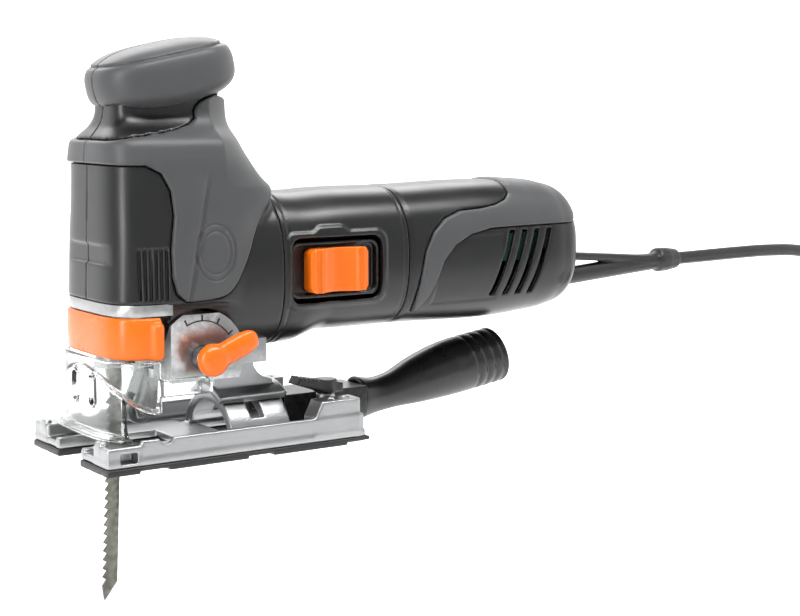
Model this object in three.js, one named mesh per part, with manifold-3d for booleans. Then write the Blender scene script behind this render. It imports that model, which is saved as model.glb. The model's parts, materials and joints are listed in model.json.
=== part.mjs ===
// Barrel-grip jigsaw with a mushroom knob, a tilting cast foot and a mains lead.
// Millimetres. +X points to the rear, -Y is the tool's left side, +Z is up.
// The origin is the centre of the sole's underside, where the tool rests on the work.
import * as THREE from "three";
import { mergeVertices } from "three/addons/utils/BufferGeometryUtils.js";
import Module from "manifold-3d";

const wasm = await Module();
wasm.setup();

// ---- driving dimensions ----
const GAP = 0.3; // between pieces that touch
const WALL = 2.6; // plastic shells
const SKIN = 1.3; // soft overmould on the shells

const FOOT_LENGTH = 133;
const FOOT_WIDTH = 82;
const SOLE_THICKNESS = 3.2;
const FLOOR_THICKNESS = 3.2;
const RAIL_TOP = 14.3;
const RAIL_WALL = 2.6;
const FORK_HALF = 12; // half of the blade slot in the foot
const FORK_END = -18; // where the blade slot ends

const BLADE_X = -44;
const BLADE_WIDTH = 7;
const BLADE_THICKNESS = 1.5;
const BLADE_TIP = -66;
const BLADE_LEAN = 0.05; // forward lean, millimetres per millimetre of depth
const TOOTH_PITCH = 4;
const STROKE = 26;

const HEAD_BOTTOM = 71.8;
const HEAD_HALF = 34.5;
const HEAD_SQUARE = 4; // power of the oval sections
const NECK_TOP = 170;
const BAND_BOTTOM = 131.5;
const BAND_FRONT_TOP = 140.5;
const BAND_REAR_TOP = 147;
const SEAM_FRONT = 26; // head shells to motor housing
const SEAM_REAR = 94.5; // motor housing to rear cover
const BARREL_Z = 84; // axis of the motor
const BARREL_HALF = 33;
const BARREL_HEIGHT = 34;
const BARREL_SQUARE = 2.5;
const BODY_END = 206;

const KNOB_LENGTH = 66;
const KNOB_WIDTH = 53;
const KNOB_TILT = 12; // degrees, rear end up

const MODULE = 0.8;
const PINION_TEETH = 8;
const GEAR_TEETH = 52;
const GEAR_FRONT = -33;
const GEAR_WIDTH = 7;

const LEVER_TOP = 66;
const LEVER_BOTTOM = 47.5;
const LEVER_WALL = 3;

const HUB_RADIUS = 25; // tilt segment, about the sole's centre line
const HUB_WALL = 4.5;
const HUB_FRONT = 3;
const HUB_REAR = 34;
const SEGMENT_WALL = 3.6;
const SEGMENT_HALF_ANGLE = 36;
const TILT_SWEEP = 43.1; // radius about the sole's centre line that the foot stays inside

const CORD_DIAMETER = 7.2;
const CORD_Z = 70.5;
const GUARD_END = 299;
const LYING_Z = BLADE_TIP - 0.6; // surface that the loose cord lies on
const COIL_CENTRE = [452, -52];
const COIL_RADIUS = 5.5 * CORD_DIAMETER;
const COIL_ROWS = 4;

// ---- worked-out values ----
const CRANK_Z = BARREL_Z + (MODULE * (PINION_TEETH + GEAR_TEETH)) / 2;
const FLOOR_BOTTOM = SOLE_THICKNESS + GAP;
const FLOOR_TOP = FLOOR_BOTTOM + FLOOR_THICKNESS;
const HALF_LENGTH = FOOT_LENGTH / 2;
const HALF_WIDTH = FOOT_WIDTH / 2;

// ---- solids from three.js geometry ----
function solid(geometry) {
  const bare = geometry.clone();
  bare.deleteAttribute("normal");
  bare.deleteAttribute("uv");
  const merged = mergeVertices(bare, 1e-4);
  const vertProperties = merged.attributes.position.array;
  const triVerts = new Uint32Array(merged.index.array);
  return new wasm.Manifold(new wasm.Mesh({ numProp: 3, vertProperties, triVerts }));
}

const join = (...pieces) => pieces.reduce((whole, piece) => whole.add(piece));
const cut = (piece, ...tools) => tools.reduce((left, tool) => left.subtract(tool), piece);

function block([x0, x1], [y0, y1], [z0, z1]) {
  const geometry = new THREE.BoxGeometry(x1 - x0, y1 - y0, z1 - z0);
  return solid(geometry.translate((x0 + x1) / 2, (y0 + y1) / 2, (z0 + z1) / 2));
}

// A round bar along an axis; a, b are its centre on the other two axes, in X, Y, Z order.
function bar(axis, [from, to], [a, b], radius, { end = radius, sides = 20 } = {}) {
  const geometry = new THREE.CylinderGeometry(end, radius, to - from, sides);
  const middle = (from + to) / 2;
  if (axis === "x") return solid(geometry.rotateZ(-Math.PI / 2).translate(middle, a, b));
  if (axis === "z") return solid(geometry.rotateX(Math.PI / 2).translate(a, b, middle));
  return solid(geometry.translate(a, middle, b));
}

const ring = (axis, span, centre, outer, inner, sides) =>
  cut(
    bar(axis, span, centre, outer, { sides }),
    bar(axis, [span[0] - 1, span[1] + 1], centre, inner, { sides }),
  );

// An outline in X-Z (axis y), X-Y (axis z) or Y-Z (axis x), pushed along the axis.
function prism(axis, [from, to], outline) {
  const shape = new THREE.Shape(outline.map(([u, v]) => new THREE.Vector2(u, v)));
  const geometry = new THREE.ExtrudeGeometry(shape, { depth: to - from, bevelEnabled: false });
  if (axis === "z") return solid(geometry.translate(0, 0, from));
  if (axis === "y") return solid(geometry.rotateX(Math.PI / 2).translate(0, to, 0));
  const turn = new THREE.Matrix4().set(0, 0, 1, 0, 1, 0, 0, 0, 0, 1, 0, 0, 0, 0, 0, 1);
  return solid(geometry.applyMatrix4(turn).translate(from, 0, 0));
}

// Rings of equal count, each running anticlockwise seen from the far end, closed by two fans.
function loft(rings) {
  const count = rings[0].length;
  const middle = (points) =>
    points.reduce((sum, p) => sum.add(p), new THREE.Vector3()).divideScalar(points.length);
  const points = [...rings.flat(), middle(rings[0]), middle(rings[rings.length - 1])];
  const first = points.length - 2;
  const index = [];
  for (let r = 0; r < rings.length - 1; r++) {
    for (let i = 0; i < count; i++) {
      const a = r * count + i;
      const b = r * count + ((i + 1) % count);
      index.push(a, b, b + count, a, b + count, a + count);
    }
  }
  const last = (rings.length - 1) * count;
  for (let i = 0; i < count; i++) {
    const next = (i + 1) % count;
    index.push(first, next, i, first + 1, last + i, last + next);
  }
  const geometry = new THREE.BufferGeometry().setFromPoints(points);
  return geometry.setIndex(index);
}

// Points of a squared oval about the origin: u to the right, v up.
function oval(halfU, halfV, power, count = 28) {
  const bulge = (value) => Math.sign(value) * Math.abs(value) ** (2 / power);
  return Array.from({ length: count }, (_, i) => {
    const angle = (2 * Math.PI * (i + 0.5)) / count;
    return [halfU * bulge(Math.cos(angle)), halfV * bulge(Math.sin(angle))];
  });
}

// ---- shapes that several pieces share ----
const ORBIT_PLACE = [-16, 46.5]; // orbital lever's axis, x and z
const CHEEK_RADIUS = 21.2; // round side plates of the gearbox about that axis
const CHEEK_FRONT = -31;
const CHEEK_HALF = 31.5;
const CHEEK_BOTTOM = 36;
const HEAD_SECTIONS = [
  { z: HEAD_BOTTOM, front: -56.5, rear: 6, half: HEAD_HALF },
  { z: 98, front: -55.5, rear: 12, half: HEAD_HALF },
  { z: 119, front: -54.8, rear: 25.2, half: HEAD_HALF - 0.5 },
  { z: 125, front: -54.6, rear: 20, half: HEAD_HALF - 1 },
  { z: 135, front: -54.2, rear: 14, half: HEAD_HALF - 2 },
  { z: 142, front: -53, rear: 11, half: 29.5 },
  { z: 148, front: -48.5, rear: 8.5, half: 21.5 },
  { z: NECK_TOP, front: -47.5, rear: 7.5, half: 20 },
];

// The head's outside, taken in by an inset: an upright oval column and the barrel's front end.
function headBody(inset, drop = 0, rise = 0) {
  const sections = HEAD_SECTIONS.map((s, i) => {
    const low = i === 0 ? drop : 0;
    const high = i === HEAD_SECTIONS.length - 1 ? rise : 0;
    const middle = (s.front + s.rear) / 2;
    const reach = (s.rear - s.front) / 2 - inset;
    return oval(reach, s.half - inset, HEAD_SQUARE).map(
      ([u, v]) => new THREE.Vector3(middle + u, v, s.z - low + high),
    );
  });
  const stub = [CHEEK_FRONT, SEAM_FRONT - GAP / 2].map((x) => barrelRing(x, inset, CHIN));
  return join(solid(loft(sections)), solid(loft(stub)));
}

const BARREL = { middle: BARREL_Z, half: BARREL_HALF, height: BARREL_HEIGHT };
const CHIN = { middle: BARREL_Z - 2.4, half: BARREL_HALF, height: BARREL_HEIGHT + 2.4 };

function barrelRing(x, inset, section) {
  return oval(section.half - inset, section.height - inset, BARREL_SQUARE).map(
    ([u, v]) => new THREE.Vector3(x, u, section.middle + v),
  );
}

const REAR_SECTIONS = [
  { x: SEAM_REAR + GAP / 2, ...BARREL },
  { x: 174, ...BARREL },
  { x: 191, middle: BARREL_Z, half: 32, height: 32 },
  { x: 201, middle: 83.7, half: 29, height: 28.5 },
  { x: BODY_END, middle: 83, half: 24, height: 23 },
];

// The rear cover's outside, taken in by an inset and ending short by as much.
function rearBody(inset, ahead = 0) {
  return solid(
    loft(
      REAR_SECTIONS.map((s, i) => {
        const back = i === REAR_SECTIONS.length - 1 ? Math.max(inset, 0) : 0;
        const front = i === 0 ? ahead : 0;
        return barrelRing(s.x - back - front, inset, s);
      }),
    ),
  );
}

// A level slice of the head's oval at its bottom, grown or shrunk, between two heights.
function headSlice(inset, [low, high]) {
  const { front, rear, half } = HEAD_SECTIONS[0];
  const rings = [low, high].map((z) =>
    oval((rear - front) / 2 - inset, half - inset, HEAD_SQUARE).map(
      ([u, v]) => new THREE.Vector3((front + rear) / 2 + u, v, z),
    ),
  );
  return solid(loft(rings));
}

const LEFT = block([-400, 400], [-200, -GAP / 2], [-200, 400]);
const RIGHT = block([-400, 400], [GAP / 2, 200], [-200, 400]);

// ---- head shells, soft grips and knob ----
const SCREW_PLACES = [
  [-44, 82],
  [-8, 96],
  [16, 62],
  [-30, 156],
  [0, 146],
];
const SCREW_HEAD = 3.6;

const screwBores = () =>
  SCREW_PLACES.map(([x, z]) => bar("y", [10, 60], [x, z], SCREW_HEAD + GAP, { sides: 16 }));

function headShells() {
  const hollow = headBody(WALL, 0.4, -WALL);
  const arch = bar("y", [-60, 60], ORBIT_PLACE, CHEEK_RADIUS + GAP, { sides: 40 });
  const mouth = block([20, 60], [-30, 30], [60, 108]);
  const rodSpace = bar("z", [NECK_TOP - 40, 157], [BLADE_X, 0], NECK_RADIUS + 0.5);
  const shell = cut(headBody(0), hollow, arch, mouth, rodSpace);
  const right = cut(shell.intersect(RIGHT), ...screwBores());
  return { left: shell.intersect(LEFT), right };
}

// The soft cover: a band round the head, a leg down each side and the web behind the neck.
const GRIP_OUTLINE = [
  [-62, BAND_BOTTOM],
  [-27, BAND_BOTTOM],
  [-34.5, HEAD_BOTTOM + GAP],
  [-9, HEAD_BOTTOM + GAP],
  [-1, 76],
  [6, 88],
  [13, 105],
  [24.5, 120],
  [24.5, 154],
  [4, 162.5],
  [-11, 158],
  [-11, BAND_REAR_TOP],
  [-62, BAND_FRONT_TOP],
];

function headGrips() {
  const skin = cut(headBody(-GAP - SKIN), headBody(-GAP, 5, 5));
  const region = prism("y", [-60, 60], GRIP_OUTLINE);
  const cover = skin.intersect(region);
  return { left: cover.intersect(LEFT), right: cut(cover.intersect(RIGHT), ...screwBores()) };
}

const KNOB_LAYERS = [
  { z: -10.5, in: 6 },
  { z: -9, in: 2.2 },
  { z: -4, in: 0 },
  { z: 3, in: 0.5 },
  { z: 7.5, in: 3.5 },
  { z: 10.5, in: 9.5 },
  { z: 11.8, in: 19 },
];
const KNOB_PLACE = [-18.5, 0, 170.5];

function knobCovers() {
  const rings = KNOB_LAYERS.map((layer) =>
    oval(KNOB_LENGTH / 2 - layer.in, KNOB_WIDTH / 2 - layer.in * 0.9, 2.6).map(
      ([u, v]) => new THREE.Vector3(u, v, layer.z),
    ),
  );
  const tilt = THREE.MathUtils.degToRad(-KNOB_TILT);
  const whole = solid(loft(rings).rotateY(tilt).translate(...KNOB_PLACE));
  const cap = cut(whole, headBody(-GAP, 0, GAP));
  return { left: cap.intersect(LEFT), right: cap.intersect(RIGHT) };
}

// ---- gearbox ----
// What the foot passes through when it tilts, as a bar about the sole's centre line.
const sweep = (radius) => bar("x", [-90, 60], [0, 0], radius, { sides: 64 });

const CLAMP_RADIUS = 8;
const ROD_RADIUS = 4.5;
const BUSH_RADIUS = 6;
const NECK_RADIUS = 2.4; // the plunger's upper end
const SHIELD_FRONT = -23;
const SHIELD_REAR = -13;

function gearboxHousing() {
  const flange = headSlice(0, [66.6, HEAD_BOTTOM - GAP]);
  const disc = bar("y", [-CHEEK_HALF, CHEEK_HALF], ORBIT_PLACE, CHEEK_RADIUS, { sides: 40 });
  const round = disc.intersect(block([CHEEK_FRONT, 30], [-60, 60], [CHEEK_BOTTOM, 90]));
  const rear = block([-16, 22], [-22, 22], [CHEEK_BOTTOM + 4, 56]);
  const front = block([-80, CHEEK_FRONT - GAP], [-60, 60], [40, 90]);
  const snout = block([-52, -30], [-17, 17], [50, HEAD_BOTTOM + 1]);
  const core = block([-40, -2], [-16, 16], [CHEEK_BOTTOM + 6, HEAD_BOTTOM + 0.5]);
  const inside = headBody(WALL + GAP, 5, -WALL - GAP);
  const upper = block([-56, SHIELD_FRONT], [-29, 29], [HEAD_BOTTOM, 139]).intersect(inside);
  const below = cut(join(round, rear), headBody(-GAP, 0));
  const whole = join(flange.intersect(front), below, snout, upper, core);
  const yokeFront = BLADE_X - ROD_RADIUS - GAP;
  const yokeSpace = block([yokeFront, SHIELD_FRONT + 5], [-24, 24], [CRANK_Z - 22, CRANK_Z + 20.5]);
  const gearSpace = bar("x", [GEAR_FRONT - 3, SHIELD_FRONT + 5], [0, CRANK_Z], 23);
  const clampBore = bar("z", [40, 81], [BLADE_X, 0], CLAMP_RADIUS + 1.2);
  const lowerBush = bar("z", [75, CRANK_Z - 10], [BLADE_X, 0], BUSH_RADIUS + GAP);
  const upperBush = bar("z", [CRANK_Z + 10, 150], [BLADE_X, 0], BUSH_RADIUS - 1.3);
  const forkSpace = block([-40, -12], [-7, 7], [CHEEK_BOTTOM - 6, 63]);
  const pinionSpace = bar("x", [GEAR_FRONT - 3, 40], [0, BARREL_Z], 7);
  const cam = bar("y", [-40, 8], ORBIT_PLACE, CAM_RADIUS + GAP);
  const mouth = block([-60, CHEEK_FRONT + 4], [-13, 13], [40, 52]);
  const railSpace = cut(sweep(TILT_SWEEP), block([-100, 70], [-16.2, 16.2], [-60, 60]));
  const spaces = [yokeSpace, gearSpace, clampBore, lowerBush, upperBush, forkSpace, pinionSpace];
  return cut(whole, ...spaces, cam, mouth, railSpace);
}

const bushes = () => ({
  lower: ring("z", [82, CRANK_Z - 22 - GAP], [BLADE_X, 0], BUSH_RADIUS, ROD_RADIUS + 0.1, 24),
  upper: ring("z", [CRANK_Z + 20.5 + GAP, 136], [BLADE_X, 0], BUSH_RADIUS - 1.6, NECK_RADIUS + 0.1, 24),
});

function bearingShield() {
  const plate = block([SHIELD_FRONT + GAP, SHIELD_REAR], [-27, 27], [73, 137]);
  const collar = bar("x", [SHIELD_FRONT + GAP, SHIELD_REAR + 4], [0, BARREL_Z], 14);
  const body = join(plate.intersect(headBody(WALL + GAP, 0, -WALL)), collar);
  const seat = bar("x", [SHIELD_FRONT - 1, SHIELD_REAR + 3], [0, BARREL_Z], BEARING_RADIUS + GAP);
  const shaft = bar("x", [SHIELD_FRONT - 1, 0], [0, BARREL_Z], 6);
  const stud = bar("x", [SHIELD_FRONT - 1, SHIELD_REAR + 1], [0, CRANK_Z], 4 + GAP);
  const low = block([SHIELD_FRONT - 1, 0], [-60, 60], [60, HEAD_BOTTOM + 2]);
  return cut(body, seat, shaft, stud, low);
}

// ---- gears: involute flanks, 25 degrees ----
function gearOutline(teeth) {
  const pitch = (MODULE * teeth) / 2;
  const base = pitch * Math.cos(THREE.MathUtils.degToRad(25));
  const tip = pitch + 0.7 * MODULE;
  const root = pitch - 1.0 * MODULE;
  const involute = (radius) => {
    const roll = Math.sqrt(Math.max((radius / base) ** 2 - 1, 0));
    return roll - Math.atan(roll);
  };
  const halfTooth = Math.PI / (2 * teeth) - 0.14 / pitch;
  const radii = base > root ? [base, pitch, tip] : [root, tip];
  const flank = radii.map((radius) => [radius, halfTooth + involute(pitch) - involute(radius)]);
  if (base > root) flank.unshift([root, flank[0][1]]);
  const points = [];
  for (let tooth = 0; tooth < teeth; tooth++) {
    const centre = (2 * Math.PI * tooth) / teeth;
    const place = ([radius, angle], side) => {
      const turn = centre + side * angle;
      points.push([radius * Math.cos(turn), radius * Math.sin(turn)]);
    };
    flank.forEach((p) => place(p, -1));
    flank.toReversed().forEach((p) => place(p, 1));
  }
  return points;
}

const turned = (points, angle) =>
  points.map(([u, v]) => [
    u * Math.cos(angle) - v * Math.sin(angle),
    u * Math.sin(angle) + v * Math.cos(angle),
  ]);
const shifted = (points, u, v) => points.map(([a, b]) => [a + u, b + v]);

const SHAFT_RADIUS = 2.0;
const BEARING_RADIUS = 11;

function drivePinion() {
  const outline = shifted(turned(gearOutline(PINION_TEETH), Math.PI / 2), 0, BARREL_Z);
  const teeth = prism("x", [GEAR_FRONT, GEAR_FRONT + GEAR_WIDTH], outline);
  return cut(teeth, bar("x", [GEAR_FRONT - 1, 0], [0, BARREL_Z], SHAFT_RADIUS - 0.4, { sides: 12 }));
}

const PIN_RADIUS = 3;
const YOKE_REAR = BLADE_X + 4.6;

function crankGear() {
  const halfPitch = Math.PI / GEAR_TEETH;
  const outline = shifted(turned(gearOutline(GEAR_TEETH), Math.PI / 2 + halfPitch), 0, CRANK_Z);
  const wheel = prism("x", [GEAR_FRONT, GEAR_FRONT + GEAR_WIDTH], outline);
  const pin = bar("x", [YOKE_REAR + 0.5, GEAR_FRONT + 1], [STROKE / 2, CRANK_Z], PIN_RADIUS);
  const bore = bar("x", [GEAR_FRONT + 1.5, GEAR_FRONT + 20], [0, CRANK_Z], 4 + 0.1);
  return cut(join(wheel, pin), bore);
}

const gearAxle = () => bar("x", [GEAR_FRONT + 1.8, SHIELD_REAR], [0, CRANK_Z], 4);

// ---- plunger, clamp and blade ----
function plunger() {
  const rod = bar("z", [62 + GAP, CRANK_Z + 2], [BLADE_X, 0], ROD_RADIUS);
  const neck = bar("z", [CRANK_Z, 142], [BLADE_X, 0], NECK_RADIUS);
  const yoke = block([BLADE_X - 4.2, YOKE_REAR], [-20.5, 20.5], [CRANK_Z - 6.5, CRANK_Z + 6.5]);
  const slot = block(
    [BLADE_X + ROD_RADIUS - 3.4, YOKE_REAR + 1],
    [-STROKE / 2 - PIN_RADIUS - 0.5, STROKE / 2 + PIN_RADIUS + 0.5],
    [CRANK_Z - PIN_RADIUS - 0.1, CRANK_Z + PIN_RADIUS + 0.1],
  );
  return cut(join(rod, neck, yoke), slot);
}

const SHANK_TOP = 58;
const CLAMP_FLAT = 6.4;
function bladeClamp() {
  const sleeve = bar("z", [41, 62], [BLADE_X, 0], CLAMP_RADIUS);
  const slot = block([BLADE_X - 4.2, BLADE_X + 4.2], [-1.1, 1.1], [38, SHANK_TOP + 1]);
  const flat = (y) => block([BLADE_X - 20, BLADE_X + 20], y, [40, 48]);
  return cut(sleeve, slot, flat([-20, -CLAMP_FLAT]), flat([CLAMP_FLAT, 20]));
}

function sawBlade() {
  const shift = (z) => BLADE_X + BLADE_LEAN * (z - 30);
  const back = BLADE_WIDTH / 2;
  const outline = [
    [shift(BLADE_TIP + 8) + back, BLADE_TIP + 8],
    [shift(30) + back, 30],
    [BLADE_X + 3.4, 38],
    [BLADE_X + 3.4, SHANK_TOP],
    [BLADE_X - 3.4, SHANK_TOP],
    [BLADE_X - 3.4, 38],
    [shift(30) - back + 1, 30],
  ];
  const teeth = Math.floor((28 - BLADE_TIP - 4) / TOOTH_PITCH);
  for (let tooth = 0; tooth < teeth; tooth++) {
    const top = 28 - tooth * TOOTH_PITCH;
    outline.push([shift(top) - back + 1.9, top - 0.6]);
    outline.push([shift(top) - back - 0.2, top - TOOTH_PITCH + 0.6]);
  }
  outline.push([shift(BLADE_TIP) - back + 1.2, BLADE_TIP]);
  return prism("y", [-BLADE_THICKNESS / 2, BLADE_THICKNESS / 2], outline);
}

// ---- orbital action ----
const CAM_RADIUS = 5;
const ROLLER_PLACE = [BLADE_X + 10.7, 20];
const ROLLER_RADIUS = 6;
const FORK_PIVOT = [-22, 57];

function orbitalFork() {
  const [px, pz] = FORK_PIVOT;
  const [rx, rz] = ROLLER_PLACE;
  const outline = [
    [px - 4, pz + 4],
    [px + 4, pz + 4],
    [px + 4, pz - 8],
    [rx + 5, rz - 3],
    [rx - 2.5, rz - 3],
    [rx - 3.5, rz + 6],
    [px - 6, pz - 10],
  ];
  const body = prism("y", [-6, 6], outline);
  const space = block([rx - 9, rx + 7.2], [-3.9, 3.9], [rz - 10, rz + 8.2]);
  const axle = bar("y", [-10, 10], ROLLER_PLACE, 1.9, { sides: 16 });
  const pin = bar("y", [-10, 10], FORK_PIVOT, 2.1, { sides: 16 });
  return cut(body, space, axle, pin);
}

function guideRoller() {
  const wheel = ring("y", [-3.5, 3.5], ROLLER_PLACE, ROLLER_RADIUS, 1.95, 24);
  const groove = ring("y", [-1, 1], ROLLER_PLACE, ROLLER_RADIUS + 2, ROLLER_RADIUS - 1, 24);
  return cut(wheel, groove);
}

const rollerAxle = () => bar("y", [-6, 6], ROLLER_PLACE, 1.6, { sides: 16 });
const forkPin = () => bar("y", [-6.8, 6.8], FORK_PIVOT, 1.8, { sides: 16 });

function orbitalLever() {
  const [x, z] = ORBIT_PLACE;
  const hub = bar("y", [-46.5, -37], ORBIT_PLACE, 6.8);
  const wing = prism("y", [-45.5, -38.5], [
    [x - 1, z + 6],
    [x + 2, z - 6],
    [x + 20, z + 3.5],
    [x + 21.5, z + 8.5],
    [x + 16, z + 12],
  ]);
  const bore = bar("y", [-41.3, -30], ORBIT_PLACE, CAM_RADIUS - 1.5);
  return cut(join(hub, wing), bore);
}

const orbitalCam = () =>
  join(
    bar("y", [-41, -30], ORBIT_PLACE, CAM_RADIUS - 1.8),
    bar("y", [-36.6, -9], ORBIT_PLACE, CAM_RADIUS),
  );

// ---- blade release lever round the head's foot ----
const HINGE_PLACE = [-35.5, HEAD_HALF - 4.2];

function releaseLever() {
  const band = cut(
    headSlice(-0.8, [LEVER_BOTTOM, LEVER_TOP]),
    headSlice(LEVER_WALL - 0.8, [LEVER_BOTTOM - 1, LEVER_TOP + 1]),
  );
  const front = band.intersect(block([-70, HINGE_PLACE[0]], [-60, 60], [0, 90]));
  const keep = cut(front, block([-37, 0], [-60, 0], [0, 90]));
  const tab = block([-41, -36.5], [-HEAD_HALF - 3, -HEAD_HALF + 1], [LEVER_BOTTOM, LEVER_TOP - 3]);
  const eye = bar("z", [LEVER_BOTTOM, LEVER_TOP], HINGE_PLACE, 4);
  const whole = join(keep, tab, eye);
  return cut(whole, bar("z", [0, 90], HINGE_PLACE, 1.9, { sides: 16 }));
}

const releasePin = () =>
  bar("z", [LEVER_BOTTOM - 0.5, LEVER_TOP + 0.3], HINGE_PLACE, 1.6, { sides: 16 });

// ---- clear chip guard ----
const GUARD_TOP = LEVER_BOTTOM - 0.6;
const GUARD_WALL = 2;
const GUARD_SLOTS = [-9, 9];

function guardScreen(bottom) {
  const slots = GUARD_SLOTS.map((y) => {
    const ends = [28.5, 37].map((z) => bar("x", [-80, -50], [y, z], 2.3, { sides: 12 }));
    return join(block([-80, -50], [y - 2.3, y + 2.3], [28.5, 37]), ...ends);
  });
  const outside = headSlice(-GUARD_WALL, [bottom, GUARD_TOP]);
  return cut(outside, headSlice(0, [bottom - 1, GUARD_TOP + 1]), ...slots);
}

// On the head: the screen's upper part and two wings that clip beside the gearbox.
function chipGuard() {
  const screen = guardScreen(20).intersect(block([-80, -38], [-60, 60], [0, 90]));
  const wings = [-1, 1].map((side) => {
    const y = [side * (HEAD_HALF + 2), side * (HEAD_HALF + 2 - GUARD_WALL)];
    return block([-39, -13], y.sort((a, b) => a - b), [31, 39]);
  });
  return join(cut(screen, sweep(TILT_SWEEP)), ...wings);
}

// On the foot: the screen's lower part, which tilts under the upper one, and its flared lip.
function footGuard() {
  const bottom = PRONG_TOP + GAP;
  const lip = cut(headSlice(-6, [bottom, bottom + 1.8]), headSlice(0, [bottom - 1, bottom + 3]));
  const front = block([-80, BLADE_X - CLAMP_RADIUS - 2 * GAP], [-60, 60], [0, 90]);
  return join(guardScreen(bottom), lip)
    .intersect(front)
    .intersect(sweep(TILT_SWEEP - GAP));
}

// ---- foot ----
function soleShoe() {
  const plate = block([-HALF_LENGTH, HALF_LENGTH], [-HALF_WIDTH, HALF_WIDTH], [0, SOLE_THICKNESS]);
  const slot = block([-HALF_LENGTH - 1, FORK_END], [-FORK_HALF, FORK_HALF], [-1, 9]);
  const window = block([HUB_FRONT + 3, HUB_REAR - 6], [-18, 18], [-1, 9]);
  const notches = [
    [-51, -37],
    [2, 15],
    [54, 90],
  ].flatMap((span) =>
    [-1, 1].map((side) => {
      const y = [side * (HALF_WIDTH - 5), side * (HALF_WIDTH + 5)].sort((a, b) => a - b);
      return block(span, y, [-1, 1.5]);
    }),
  );
  return cut(plate, slot, window, ...notches);
}

const PRONG_INSIDE = 25;
const PRONG_TOP = 12.4;
const LEVER_PIVOT = [55, -20]; // clamp lever's upright axis, x and y
const LEVER_SEAT = 22.3;
const BLOCK_FRONT = 41;
const BLOCK_REAR = 61.5;
const BLOCK_TOP = 21.7;

function footPlate() {
  const edge = HALF_WIDTH - 0.5;
  const z = [FLOOR_BOTTOM, RAIL_TOP];
  const floor = block([-HALF_LENGTH + 0.5, HALF_LENGTH - 2], [-edge, edge], [FLOOR_BOTTOM, FLOOR_TOP]);
  const pieces = [floor];
  for (const side of [-1, 1]) {
    const span = (a, b) => [side * a, side * b].sort((m, n) => m - n);
    pieces.push(block([-50, BLOCK_REAR + 2], span(edge - RAIL_WALL, edge), z));
    pieces.push(block([-HALF_LENGTH + 0.5, -49], span(PRONG_INSIDE, edge), [FLOOR_BOTTOM, PRONG_TOP]));
    pieces.push(
      prism("y", span(edge - 11, edge), [
        [BLOCK_FRONT - 4, RAIL_TOP - 8],
        [BLOCK_REAR, RAIL_TOP - 8],
        [BLOCK_REAR, BLOCK_TOP],
        [BLOCK_FRONT, BLOCK_TOP],
        [BLOCK_FRONT - 4, RAIL_TOP],
      ]),
    );
  }
  pieces.push(block([BLOCK_REAR - 3, BLOCK_REAR], [-edge, edge], z));
  pieces.push(bar("z", [FLOOR_BOTTOM + 1, LEVER_SEAT - GAP], LEVER_PIVOT, 4.5));
  const saddle = ring("x", [HUB_FRONT, HUB_REAR], [0, 0], HUB_RADIUS, HUB_RADIUS - HUB_WALL, 44);
  pieces.push(saddle.intersect(block([0, 90], [-60, 60], [FLOOR_BOTTOM + 0.5, 90])));
  const slot = block([-HALF_LENGTH - 1, FORK_END], [-FORK_HALF, FORK_HALF], [-1, 30]);
  const window = block([HUB_FRONT + 3, HUB_REAR - 6], [-18, 18], [-1, 12]);
  const sideWindows = cut(
    block([HUB_FRONT - 2.5, HUB_REAR + 2.5], [-HUB_RADIUS - 6, HUB_RADIUS + 6], [-1, 9]),
    bar("x", [-90, 90], [0, 0], HUB_RADIUS, { sides: 44 }),
  );
  const recesses = [-1, 1].map((side) => {
    const y = [side * 34, side * 60].sort((a, b) => a - b);
    return block([-60, -52], y, [FLOOR_BOTTOM + 1.5, 9.5]);
  });
  const arcSlot = cut(
    bar("x", [BOLT_X - 3.4, BOLT_X + 3.4], [0, 0], HUB_RADIUS + 2, { sides: 40 }),
    prism("x", [0, 60], [
      [-80, -80],
      [80, -80],
      [80, 55],
      [0, 0],
      [-80, 55],
    ]),
  );
  const duct = block([BLOCK_REAR - 8, BLOCK_REAR + 5], [-DUCT_HALF - GAP, DUCT_HALF + GAP], [FLOOR_TOP, 30]);
  return cut(join(...pieces), slot, window, sideWindows, ...recesses, arcSlot, duct);
}

// The fixed half of the tilt joint: a flange curved about the sole's centre line and its neck.
const BOLT_X = 18;
const NUT_TOP = HUB_RADIUS - HUB_WALL - 1.3;
function tiltSegment() {
  const outer = HUB_RADIUS + GAP + SEGMENT_WALL;
  const arc = ring("x", [HUB_FRONT - 2, HUB_REAR + 2], [0, 0], outer, HUB_RADIUS + GAP, 44);
  const reach = 60 * Math.tan(THREE.MathUtils.degToRad(SEGMENT_HALF_ANGLE));
  const sector = prism("x", [-40, 60], [
    [0, 0],
    [reach, 60],
    [-reach, 60],
  ]);
  const neck = prism("y", [-10, 10], [
    [2, HUB_RADIUS + 2],
    [32, HUB_RADIUS + 2],
    [25, HUB_RADIUS + 9],
    [21.5, CHEEK_BOTTOM + 4 - GAP],
    [6, CHEEK_BOTTOM + 4 - GAP],
    [6, CHEEK_BOTTOM - 1],
    [2, CHEEK_BOTTOM - 2],
  ]);
  const bolt = bar("z", [10, 60], [BOLT_X, 0], 2.6, { sides: 16 });
  const key = bar("z", [34, 60], [BOLT_X, 0], 5, { sides: 16 });
  return cut(join(arc.intersect(sector), neck), bolt, key);
}

const clampBolt = () =>
  join(
    bar("z", [NUT_TOP - 4.7, 37], [BOLT_X, 0], 2.3, { sides: 16 }),
    bar("z", [34 + GAP, 38], [BOLT_X, 0], 4.4, { sides: 16 }),
  );
const clampNut = () =>
  cut(
    block([BOLT_X - 5, BOLT_X + 5], [-5.5, 5.5], [NUT_TOP - 5.2, NUT_TOP]),
    bar("z", [10, 40], [BOLT_X, 0], 2.6, { sides: 16 }),
  );

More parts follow.
